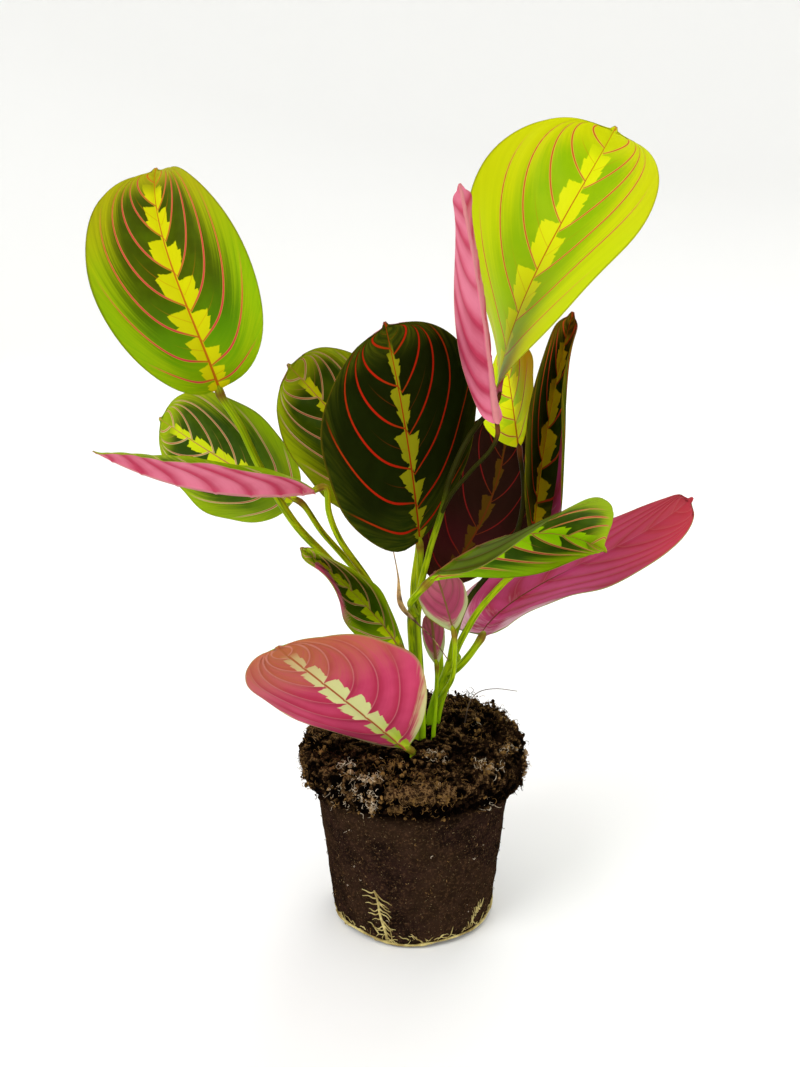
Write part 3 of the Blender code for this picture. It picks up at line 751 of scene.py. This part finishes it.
SHOOTS = {
    "shoot_left": [
        Stalk([(0, 3, 63), (0, 3, 77), (-2, 4, 92), (-6, 7, 113), (-13, 9, 130)], 2.3, 1.9),
        Stalk([(-11, 8, 125), (-16, 9, 134), (-27, 5, 144), (-36, 1, 155), (-46, -2, 168),
               (-57, -5, 189), (-64, -7, 206)], 1.7, 1.4, "leaf_left_top"),
        Stalk([(-9, 8, 120), (-16, 13, 134), (-28, 11, 150), (-36, 8, 161)], 1.4, 1.1,
              "leaf_left_middle"),
        Stalk([(-5, 6, 109), (-9, 0, 125), (-17, -7, 145), (-27, -16, 164), (-31, -22, 177)],
              1.4, 1.1, "leaf_left_folded"),
        Stalk([(-2, 4, 90), (-3, -4, 100), (-5, -13, 110)], 1.3, 1.0, "leaf_left_low"),
    ],
    "shoot_middle": [
        Stalk([(2, -4, 63), (2, -4, 77), (2, -4, 94), (1, -6, 112), (0, -8, 130),
               (1, -9, 140)], 2.6, 2.3),
        Stalk([(1, -9, 136), (3, -13, 148), (6, -16, 162), (10, -19, 177), (13, -19, 190),
               (19, -16, 203), (25, -8, 209)], 1.3, 0.9, "leaf_top_large", 158),
        Stalk([(9, -18, 174), (13, -23, 184), (20, -29, 195), (26, -33, 203)], 0.8, 0.7,
              "leaf_top_folded", 150),
        Stalk([(1, -8, 134), (2, -8, 148)], 1.4, 1.2, "leaf_middle_dark"),
        Stalk([(0, -7, 128), (0, -1, 142), (2, 7, 157)], 1.4, 1.1, "leaf_middle_back"),
        Stalk([(1, -8, 132), (-1, -17, 139), (-1, -27, 145)], 1.5, 1.2, "leaf_front_spread"),
    ],
    "shoot_right": [
        Stalk([(8, 9, 63), (8, 9, 77), (10, 8, 89), (14, 5, 102), (17, 3, 112)], 2.8, 2.3),
        Stalk([(14, 4, 102), (17, 0, 106), (21, -5, 113)], 1.6, 1.3, "leaf_right_spread"),
        Stalk([(16, 3, 110), (19, -6, 122), (25, -10, 135), (34, -8, 145), (43, -2, 151)],
              1.4, 1.1, "leaf_right_upright", 140),
        Stalk([(14, 4, 104), (16, 0, 119), (21, -3, 136), (32, 0, 150), (40, 3, 163),
               (42, 3, 178)], 1.2, 0.9, "leaf_right_small", 112),
        Stalk([(11, 7, 91), (11, 12, 106), (9, 16, 122)], 1.4, 1.1, "leaf_right_maroon"),
        Stalk([(9, 8, 86), (12, -3, 97), (15, -17, 111)], 1.1, 0.9, "leaf_young"),
    ],
    "stalk_bud": [Stalk([(8, -3, 63), (8, -3, 77), (9, -1, 92)], 1.0, 0.8, "leaf_bud")],
    "stalk_front": [Stalk([(-3, -19, 63), (-2, -19, 74)], 1.5, 1.2, "leaf_front_low")],
}


# %% Sweep a tube
def smooth_path(points, step):
    """Points about a step apart on the smooth curve through the given points."""
    knots = [np.array(point, float) for point in points]
    ends = [2 * knots[0] - knots[1]] + knots + [2 * knots[-1] - knots[-2]]
    path = []
    for before, start, stop, after in zip(ends, ends[1:], ends[2:], ends[3:]):
        count = max(1, round(float(np.linalg.norm(stop - start)) / step))
        for t in np.arange(count) / count:
            second = 2 * before - 5 * start + 4 * stop - after
            third = 3 * start - before - 3 * stop + after
            path.append(0.5 * (2 * start + (stop - before) * t + second * t ** 2
                               + third * t ** 3))
    path.append(knots[-1])
    return np.array(path)


def sweep(path, radii, around, flat=1.0, strands=0):
    """Rings of points round a path, closed at both ends, with their faces. With strands, the
    ring has that many lobes, like stems pressed together."""
    tangent = unit(np.gradient(path, axis=0))
    side = np.cross(tangent[0], (0.3, 1.0, 0.2))
    turns = 2 * math.pi * np.arange(around) / around
    lobes = 1 - 0.22 * (1 - np.abs(np.sin(0.5 * strands * turns)) ** 0.6) if strands else 1.0
    rings = []
    for index, point in enumerate(path):
        side = unit(side - tangent[index] * np.dot(side, tangent[index]))
        other = np.cross(tangent[index], side)
        ring = np.cos(turns)[:, None] * side + flat * np.sin(turns)[:, None] * other
        rings.append(point + (radii[index] * lobes * ring.T).T)
    points = np.concatenate(rings + [path[:1], path[-1:]])
    faces = turned_faces(len(path), around)
    first, last = len(path) * around, len(path) * around + 1
    for spoke in range(around):
        beside = (spoke + 1) % around
        faces.append((first, beside, spoke))
        start = (len(path) - 1) * around
        faces.append((last, start + spoke, start + beside))
    return points, faces


def join_shapes(shapes):
    """One list of points and one of faces from those of several shapes."""
    points, faces, start = [], [], 0
    for shape_points, shape_faces in shapes:
        points.append(shape_points)
        faces += [tuple(index + start for index in face) for face in shape_faces]
        start += len(shape_points)
    return np.concatenate(points), faces


# %% Stalk finish
def stalk_skin():
    """Yellow green, painted shade in the grooves and high on the stalks, reddish brown joints."""
    skin = Recipe("stalk_skin", 0.4, 0.03)
    low = skin.read("low")
    lengthways = skin.place_at(skin.read("round") * 5.0, low * 5.0, skin.read("number"))
    streak = skin.cloud(2.4, place=lengthways)
    skin.body = skin.mix(streak.ramp(0.42, 0.7), "a4bc0e", "587808")
    skin.coat(low.ramp(0.7, 1.0, 0.0, 0.8), "8cb80e")
    # painted shade in the grooves between the strands
    skin.coat(skin.read("groove") * 0.8, "3c480c")
    # painted shade high on the stalks, in the shadow of the leaves
    skin.coat(skin.read("dark"), "2a2a08")
    skin.coat(skin.read("joint") * 0.85, "74421e")
    skin.bump(streak, 0.3, 0.0004)
    return skin.finish()


STALK_SKIN = stalk_skin()
STALK_AROUND = 30
PETIOLE_AROUND = 12
STRANDS = 3
SHEATH_SWELL = 1.18
JOINT_LENGTH = 7.0
SHOOT_TOP = 180.0
SOIL_LEVEL = 77.0


# %% Make the stalks
def stalk_line(stalk):
    """The stalk's smooth path, the distance left to its end, and its radius on the way."""
    leaves = {leaf.name: leaf for leaf in LEAVES}
    points = [np.array(point, float) for point in stalk.points]
    if stalk.leaf:
        base, along, _, up = midrib_frames(leaves[stalk.leaf])[0]
        points += [base - along * 4.0, base + along * 1.6 - up * 0.5]
    path = smooth_path(points, 1.5)
    run = np.concatenate([[0], np.cumsum(np.linalg.norm(np.diff(path, axis=0), axis=1))])
    radii = stalk.foot + (stalk.top - stalk.foot) * run / run[-1]
    return path, run[-1] - run, radii


def make_shoot(name, stalks):
    """The tubes of one shoot as one piece, with notes on each point for its finish."""
    shapes, notes = [], {}
    for number, stalk in enumerate(stalks):
        path, left, radii = stalk_line(stalk)
        joint = np.exp(-((left - 0.55 * JOINT_LENGTH) / (0.36 * JOINT_LENGTH)) ** 2)
        joint = joint if stalk.leaf else 0 * joint
        radii = radii * (1 + 0.25 * joint)
        radii[-1] *= 0.45
        strands = 0 if stalk.leaf else STRANDS
        radii = radii * (SHEATH_SWELL if strands else 1.0)
        around = STALK_AROUND if strands else PETIOLE_AROUND
        shapes.append(sweep(path, radii, around, strands=strands))
        turns = np.arange(around) / around
        # painted shade in the grooves between the strands pressed together
        groove = (1 - np.abs(np.sin(math.pi * strands * turns))) ** 2 * (strands > 0)
        low = np.clip((SHOOT_TOP - path[:, 2]) / (SHOOT_TOP - SOIL_LEVEL), 0, 1)
        # painted shade: darker above this height, where the leaves above shadow the stalk
        dark = smooth_step(path[:, 2], stalk.painted_shade_from, stalk.painted_shade_from + 30.0)
        seen = {"joint": joint[:, None], "low": low[:, None], "dark": dark[:, None],
                "round": np.abs(turns - 0.5), "groove": groove, "number": number}
        for note, values in seen.items():
            grid = values + np.zeros((len(path), around))
            notes.setdefault(note, []).extend((grid.ravel(), grid[[0, -1], 0]))
    notes = {note: np.concatenate(values) for note, values in notes.items()}
    piece = mesh_piece(name + "_stalks", *join_shapes(shapes), [STALK_SKIN], notes=notes)
    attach(piece, "root")
    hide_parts(name)
    return piece


for shoot_name, stalks in SHOOTS.items():
    shoot = make_shoot(shoot_name, stalks)
    print(shoot_name, len(stalks), "stalks,", len(shoot.data.polygons), "faces")

# %% [markdown]
# ## The root ball
# The ball is a cast of the pot: a tapered body, a step and a rim. Its soil is peat held by
# fibres. The form is a fine turned surface, moved in and out by layered noise: little on
# the body, which the pot pressed smooth, and a lot on the crust above. At the front the
# crust has broken away under its lip.

# %% Ball form
BOTTOM_RADIUS = 30.5
EDGE_RADIUS = 33.0
EDGE_HEIGHT = 2.5
BODY_RADIUS = 39.3
BODY_HEIGHT = 60.5
RIM_RADIUS = 44.5
RIM_BOTTOM = 62.5
RIM_TOP = 75.0
BALL_AROUND = 300


def body_radius(height):
    share = (height - EDGE_HEIGHT) / (BODY_HEIGHT - EDGE_HEIGHT)
    return EDGE_RADIUS + (BODY_RADIUS - EDGE_RADIUS) * share


def ball_outline():
    """(radius, height, how loose the soil is) down the outside, every half millimetre or so."""
    corners = [(0.2, SOIL_LEVEL + 0.5, 1.0), (30, SOIL_LEVEL, 1.0), (41, SOIL_LEVEL - 0.6, 1.0),
               (44, RIM_TOP, 1.0), (RIM_RADIUS, RIM_TOP - 3, 1.0), (RIM_RADIUS, 66, 0.9),
               (RIM_RADIUS - 0.8, RIM_BOTTOM, 0.8), (BODY_RADIUS + 0.3, BODY_HEIGHT, 0.6),
               (body_radius(50), 50, 0.3), (EDGE_RADIUS, EDGE_HEIGHT, 0.25),
               (BOTTOM_RADIUS, 0.0, 0.0), (0.2, 0.0, 0.0)]
    outline = []
    for (r0, z0, l0), (r1, z1, l1) in zip(corners, corners[1:]):
        count = max(2, round(math.hypot(r1 - r0, z1 - z0) / 0.9))
        for t in np.arange(count) / count:
            outline.append((r0 + (r1 - r0) * t, z0 + (z1 - z0) * t, l0 + (l1 - l0) * t))
    return outline + [corners[-1]]


# %% Crumble it
BITE_ANGLE, BITE_HALF_WIDTH = -90, 42
BITE_HEIGHT, BITE_HALF_HEIGHT = 65.0, 6.5
BITE_DEPTH = 6.5
MOUNDS = [(18, 20, 2.2, 14), (-1, -23, 2.6, 8)]


def around_ball(turn, radius, height):
    """A place at this turn round the ball's axis, and the way out from the axis."""
    out = Vector((math.cos(turn), math.sin(turn), 0.0))
    return out * radius + Vector((0, 0, height)), out


def rim_bite(place):
    """The share of the rim's step that has broken away, most at the front below its lip."""
    angle = math.degrees(math.atan2(place.y, place.x))
    around = max(0.0, 1 - ((angle - BITE_ANGLE) / BITE_HALF_WIDTH) ** 2)
    level = max(0.0, 1 - ((place.z - BITE_HEIGHT) / BITE_HALF_HEIGHT) ** 2)
    ragged = 0.8 + 0.9 * noise.noise(Vector((0.12 * angle, 0.2 * place.z, 4.0)))
    return around ** 0.5 * level * ragged


def soil_relief(place, loose):
    """How far the soil stands out: lumps, then clods with gaps between them, then grains."""
    lumps = noise.noise(place / 7.0)
    clods = 0.35 - abs(noise.noise(place / 3.8 + Vector((9, 3, 5)))) * 1.7
    crumbs = 0.4 - abs(noise.noise(place / 2.4 + Vector((2, 8, 4))))
    grains = noise.noise(place / 1.0 + Vector((5, 7, 3)))
    return loose * (1.4 * lumps + (2.2 * clods + 1.5 * crumbs) * loose + 0.4 * grains)


def crumbled(place, out, loose):
    """A point of the smooth ball, moved to where the soil's surface really is."""
    if loose <= 0.01:
        return place
    relief = soil_relief(place, loose)
    if place.z > RIM_TOP:
        mound = sum(top * math.exp(-((place - Vector((x, y, place.z))).length / reach) ** 2)
                    for x, y, top, reach in MOUNDS)
        return place + Vector((0, 0, relief + mound)) + out * 0.4 * relief
    fade = min(1.0, (place.z - EDGE_HEIGHT + 1) / 6.0)
    return place + out * (relief * fade - BITE_DEPTH * rim_bite(place))


def make_ball():
    """The turned surface, and notes for its finish: loose, painted shadow under the lip, and high.
    """
    outline = ball_outline()
    points, notes = [], {"loose": [], "lip_shadow": [], "high": []}
    for radius, height, loose in outline:
        for spoke in range(BALL_AROUND):
            place, out = around_ball(2 * math.pi * spoke / BALL_AROUND, radius, height)
            points.append(crumbled(place, out, loose))
            notes["loose"].append(loose)
            # painted shadow under the overhanging lip, where the rim has broken away
            notes["lip_shadow"].append(rim_bite(place) if radius > 30 else 0.0)
            # relief height, which the finish uses for painted shade in the hollows
            notes["high"].append(soil_relief(place, loose))
    faces = [face[::-1] for face in turned_faces(len(outline), BALL_AROUND)]
    return points, faces, notes


# %% Soil finish
def soil_skin():
    """Dark peat, fine brown fibres, brown clods; painted shade black between them and under the
    lip.
    """
    skin = Recipe("soil_skin", 1.0, 0.0)
    grains = skin.cloud(900.0, 4.0, 0.75)
    skin.body = skin.mix(skin.cloud(170.0, 6.0, 0.7).ramp(0.35, 0.7), "160e0a", "30201a")
    skin.coat(skin.cloud(32.0, 3.0, 0.5).ramp(0.42, 0.62, 0.0, 0.3), "42301f")
    skin.coat(grains.ramp(0.5, 0.66, 0.0, 0.6), "5c422c")
    skin.coat(skin.cloud(1500.0, 2.0, 0.6).ramp(0.68, 0.74, 0.0, 0.9), "a89468")
    crest = skin.mix(grains.ramp(0.42, 0.6), "24160e", "84643f")
    # painted shade: near black in the hollows between the clods, by relief height
    crust = skin.mix(skin.read("high").ramp(0.1, 1.3), "070403", crest)
    skin.coat(skin.read("loose").ramp(0.45, 0.8), crust)
    # painted shadow: near black under the overhanging lip
    skin.coat(skin.read("lip_shadow").ramp(0.1, 0.6, 0.0, 0.9), "080504")
    skin.bump(grains, 0.9, 0.0014)
    return skin.finish()


SOIL_SKIN = soil_skin()
ball_points, ball_faces, ball_notes = make_ball()
ball = mesh_piece("soil_ball", ball_points, ball_faces, [SOIL_SKIN], notes=ball_notes)
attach(ball, "root")
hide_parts("root_ball")
print("soil ball:", len(ball.data.polygons), "faces")

# %% [markdown]
# ## Crumbs and fibres
# Seen close, the crust is not a surface at all but a heap: crumbs of peat, and curled fibres
# that stick out of it. A hair system would scatter them quickly, but it makes no solid
# mesh. Here a seeded draw picks each place, and the crumb or fibre is built there. Fibres
# are three-sided because they are so thin, and their tint goes in patches, as mould and
# dry moss do on a real crust.

# %% Scatter crumbs
CRUMBS = 1300
FIBRES = 5200
BODY_FIBRES = 500
FIBRE_TAPER = (1, 1, 0.9, 0.8, 0.6, 0.3)
FIBRE_STEPS = len(FIBRE_TAPER) - 1
SEED = 11
TOP_SHARE = 0.6
PALE_CLUMPS = [(-20, -39), (-27, -31), (8, -22), (28, -29), (24, 8), (41, -9), (-30, 24)]
GOLDEN_CLUMPS = [(4, -42), (-8, -33), (20, 24), (-38, -8)]


def random_vector(draw, low, high):
    return Vector([draw.uniform(low, high) for _ in range(3)])


def crust_place(draw):
    """A random point high on a clod of the crust, with the way out of it."""
    while True:
        turn = draw.uniform(0, 2 * math.pi)
        if draw.random() < TOP_SHARE:
            place, out = around_ball(turn, 43.5 * math.sqrt(draw.random()), SOIL_LEVEL)
            loose, normal = 1.0, Vector((0, 0, 1))
        else:
            place, out = around_ball(turn, RIM_RADIUS, draw.uniform(RIM_BOTTOM, RIM_TOP))
            loose, normal = 0.9, out
        if soil_relief(place, loose) > draw.uniform(-0.7, 1.0):
            return crumbled(place, out, loose), normal


def body_place(draw):
    turn = draw.uniform(0, 2 * math.pi)
    height = draw.uniform(4.0, BODY_HEIGHT)
    place, out = around_ball(turn, body_radius(height), height)
    return crumbled(place, out, 0.3), out


def near_any(place, spots, reach):
    return max(math.exp(-((place.x - x) ** 2 + (place.y - y) ** 2) / reach ** 2)
               for x, y in spots)


def patch_tint(place, draw):
    """0 for dark peat, 0.5 for golden fibre and 1 for what has bleached, in patches."""
    cloud = noise.noise(place / 8.0 + Vector((3, 1, 7)))
    golden = smooth_step(near_any(place, GOLDEN_CLUMPS, 13.0) + cloud, 0.1, 0.6)
    bleached = smooth_step(near_any(place, PALE_CLUMPS, 6.0) + 0.7 * cloud, 0.3, 0.7)
    return float(np.clip(0.5 * golden + 0.85 * bleached + draw.uniform(-0.45, 0.2), 0, 1))


def crumb_shape(draw):
    """A lump of twelve corners pulled about, half sunk where it lies."""
    place, out = crust_place(draw)
    size = draw.uniform(0.35, 1.3)
    gold = (1 + math.sqrt(5)) / 2
    corners = [Vector(np.roll((one, far, 0.0), shift)) for shift in range(3)
               for far in (gold, -gold) for one in (-1.0, 1.0)]
    faces = [(0, 11, 5), (0, 5, 1), (0, 1, 7), (0, 7, 10), (0, 10, 11), (1, 5, 9), (5, 11, 4),
             (11, 10, 2), (10, 7, 6), (7, 1, 8), (3, 9, 4), (3, 4, 2), (3, 2, 6), (3, 6, 8),
             (3, 8, 9), (4, 9, 5), (2, 4, 11), (6, 2, 10), (8, 6, 7), (9, 8, 1)]
    stretch = random_vector(draw, 0.6, 1.3)
    points = [place + corner * stretch * (0.5 * size * draw.uniform(0.6, 1.2))
              for corner in corners]
    return np.array(points), faces, 0.7 * patch_tint(place, draw)


def fibre_shape(draw, where=crust_place, longest=4.6, lift=0.5):
    """A thin curled tube from its place. With lift near 0 it keeps to the surface."""
    place, out = where(draw)
    aim = random_vector(draw, -1, 1)
    aim = (aim - out * aim.dot(out) * (1 - lift)).normalized()
    path = [place]
    curl = random_vector(draw, -1, 1)
    length = draw.uniform(1.6, longest)
    for _ in range(FIBRE_STEPS):
        jolt = random_vector(draw, -0.5, 0.5)
        aim = (aim + aim.cross(curl) * 1.1 + jolt - out * 0.2).normalized()
        path.append(path[-1] + aim * (length / FIBRE_STEPS))
    radius = draw.uniform(0.07, 0.18)
    shape = sweep(np.array(path), radius * np.array(FIBRE_TAPER), 3)
    return *shape, patch_tint(place, draw)


# %% Fibre finish
def fibre_skin():
    """Dark, golden or bleached by the tint, with fine dark grains."""
    skin = Recipe("fibre_skin", 1.0, 0.0)
    tint = skin.read("tint")
    grains = skin.cloud(1200.0, 3.0, 0.7)
    skin.body = skin.mix(tint.ramp(0.1, 0.6), "1c120b", "94703f")
    skin.coat(tint.ramp(0.6, 0.95), "dccbb0")
    skin.coat(grains.ramp(0.35, 0.65, 0.5, 0.0), "24160c")
    skin.bump(grains, 0.5, 0.0005)
    return skin.finish()


FIBRE_SKIN = fibre_skin()


def lay_on_soil(name, shapes):
    """Joins the shapes into one piece and keeps each one's tint on its points."""
    points, faces = join_shapes([shape[:2] for shape in shapes])
    tint = np.concatenate([np.full(len(s[0]), s[2]) for s in shapes])
    piece = mesh_piece(name, points, faces, [FIBRE_SKIN], notes={"tint": tint})
    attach(piece, "root")
    print(name, len(faces), "faces")


draw = random.Random(SEED)
lay_on_soil("soil_crumbs", [crumb_shape(draw) for _ in range(CRUMBS)])
lay_on_soil("soil_fibres", [fibre_shape(draw) for _ in range(FIBRES)])
lay_on_soil("body_fibres", [fibre_shape(draw, body_place, 2.6, 0.05) for _ in range(BODY_FIBRES)])

# %% [markdown]
# ## Roots
# Pale roots show against the dark peat: one like a feather, with rootlets on both sides,
# and others that circled the pot's foot and now run round the ball's bottom edge. They lie
# on the same surface formula as the ball, so that they neither float nor sink. A rootlet
# wanders a little on its way, or it would look like a comb's tooth.

# %% Place roots on the ball
FEATHER_ANGLES = (-115.5, -108.5)
FEATHER_HEIGHTS = (26.0, 3.5)
FEATHER_BARBS = 9
FEATHER_REACH = 6.0
RING_START = -162.0
RING_SWEEP = 330.0
RING_STEPS = 220
RING_ROOTS = 100
CLUSTER_ROOTS = 16
CLUSTER_ANGLE = -52
CLUSTER_SWEEP = 16
CLUSTER_CLIMB = 9
ROOT_GAP = 0.2


def on_ball(angle, height):
    """The point of the ball's side at this angle and height, just off its surface."""
    radius = body_radius(max(height, EDGE_HEIGHT))
    place, out = around_ball(math.radians(angle), radius, height)
    return crumbled(place, out, 0.25 + 0.05 * (height - EDGE_HEIGHT) / 50) + out * ROOT_GAP


def rootlet(draw, angle, height, across, rise, thick):
    """A thin root that sets off on the ball and wanders; across and rise in millimetres."""
    steps = 8
    path = []
    bend = draw.uniform(-1.2, 1.2)
    for k in range(steps + 1):
        t = k / steps
        stray = bend * math.sin(math.pi * t) + 0.25 * math.sin(9 * t + 7 * bend)
        level = max(1.2, height + rise * t + stray)
        path.append(on_ball(angle + math.degrees(across * t / EDGE_RADIUS), level))
    return sweep(np.array(path), thick * np.linspace(1.0, 0.4, steps + 1), 6)


def feather_place(t):
    """The angle and height of the feather's spine, from its top at 0 to its foot at 1."""
    return [top + (foot - top) * t for top, foot in (FEATHER_ANGLES, FEATHER_HEIGHTS)]


def feather_shapes(draw):
    steps = 24
    spine = []
    for t in np.arange(steps + 1) / steps:
        angle, height = feather_place(t)
        spine.append(on_ball(angle + 0.5 * math.sin(9 * t), height))
    shapes = [sweep(np.array(spine), np.linspace(0.35, 0.6, steps + 1), 8)]
    for index in range(FEATHER_BARBS):
        for side in (-1, 1):
            t = (index + draw.uniform(0.1, 0.7)) / FEATHER_BARBS
            angle, height = feather_place(t)
            reach = FEATHER_REACH * draw.uniform(0.7, 1.1) * (1.1 - 0.45 * t)
            fall = -reach * (0.7 if side > 0 else 0.5 * t)
            shapes.append(rootlet(draw, angle, height, side * reach, fall, 0.3))
    return shapes


def ring_shapes(draw):
    ring = []
    for t in np.linspace(0, 1, RING_STEPS):
        height = 2.4 + 1.1 * math.sin(7.3 * t * math.pi) * math.sin(3.1 * t * math.pi)
        ring.append(on_ball(RING_START + RING_SWEEP * t, height))
    thick = [0.5 + 0.3 * noise.noise(point / 4.0) for point in ring]
    shapes = [sweep(np.array(ring), np.array(thick), 8)]
    for index in range(RING_ROOTS):
        angle = RING_START + RING_SWEEP * (index + draw.random()) / RING_ROOTS
        across = draw.uniform(-5.0, 5.0)
        rise = draw.uniform(-1.0, 7.0) * draw.random()
        shapes.append(rootlet(draw, angle, draw.uniform(1.5, 5.0), across, rise,
                              draw.uniform(0.14, 0.3)))
    for _ in range(CLUSTER_ROOTS):
        climb = draw.uniform(0.0, 1.0)
        angle = CLUSTER_ANGLE + CLUSTER_SWEEP * climb
        shapes.append(rootlet(draw, angle, 2 + CLUSTER_CLIMB * climb, draw.uniform(-2.5, 3.0),
                              draw.uniform(1.5, 5.0), draw.uniform(0.2, 0.4)))
    return shapes


def root_skin(name, dark, light):
    """Root that goes from its dark colour to its light one in places."""
    skin = Recipe(name, 0.8)
    wander = skin.cloud(220.0, 4.0, 0.65)
    skin.body = skin.mix(wander.ramp(0.35, 0.65), dark, light)
    skin.bump(wander, 0.4, 0.0004)
    return skin.finish()


def root_piece(name, shapes, node, skin):
    points, faces = join_shapes(shapes)
    piece = mesh_piece(name, points, faces, [skin])
    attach(piece, "root")
    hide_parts(node)
    print(name, len(faces), "faces")


ROOT_SKIN = root_skin("root_skin", "8a7438", "cdbd78")
root_piece("feather_root", feather_shapes(draw), "root_feather", ROOT_SKIN)
root_piece("ring_roots", ring_shapes(draw), "roots_ring", ROOT_SKIN)

# %% Hair root and dried sheath
HAIR_ROOT = [(21, 8, 77.0), (23, 9, 87), (27, 11, 91), (34, 12, 92), (43, 14, 90)]
hair_path = smooth_path(HAIR_ROOT, 1.0)
hair = sweep(hair_path, np.linspace(0.24, 0.14, len(hair_path)), 6)
root_piece("hair_root_thread", [hair], "hair_root", root_skin("hair_skin", "3c2c20", "7a6450"))

SHEATH = [(-8, -16, 162), (-6, -17, 151), (-5, -20, 141), (1, -21, 134), (7, -19, 127),
          (13, -19, 118)]
sheath_path = smooth_path(SHEATH, 1.2)
sheath_share = np.linspace(0, 1, len(sheath_path))
sheath_radii = 0.22 + 0.9 * np.exp(-((sheath_share - 0.42) / 0.16) ** 2)
sheath = sweep(sheath_path, sheath_radii, 12, flat=0.3)
root_piece("sheath_strip", [sheath], "dried_sheath",
           root_skin("sheath_skin", "4a2c14", "c0a060"))
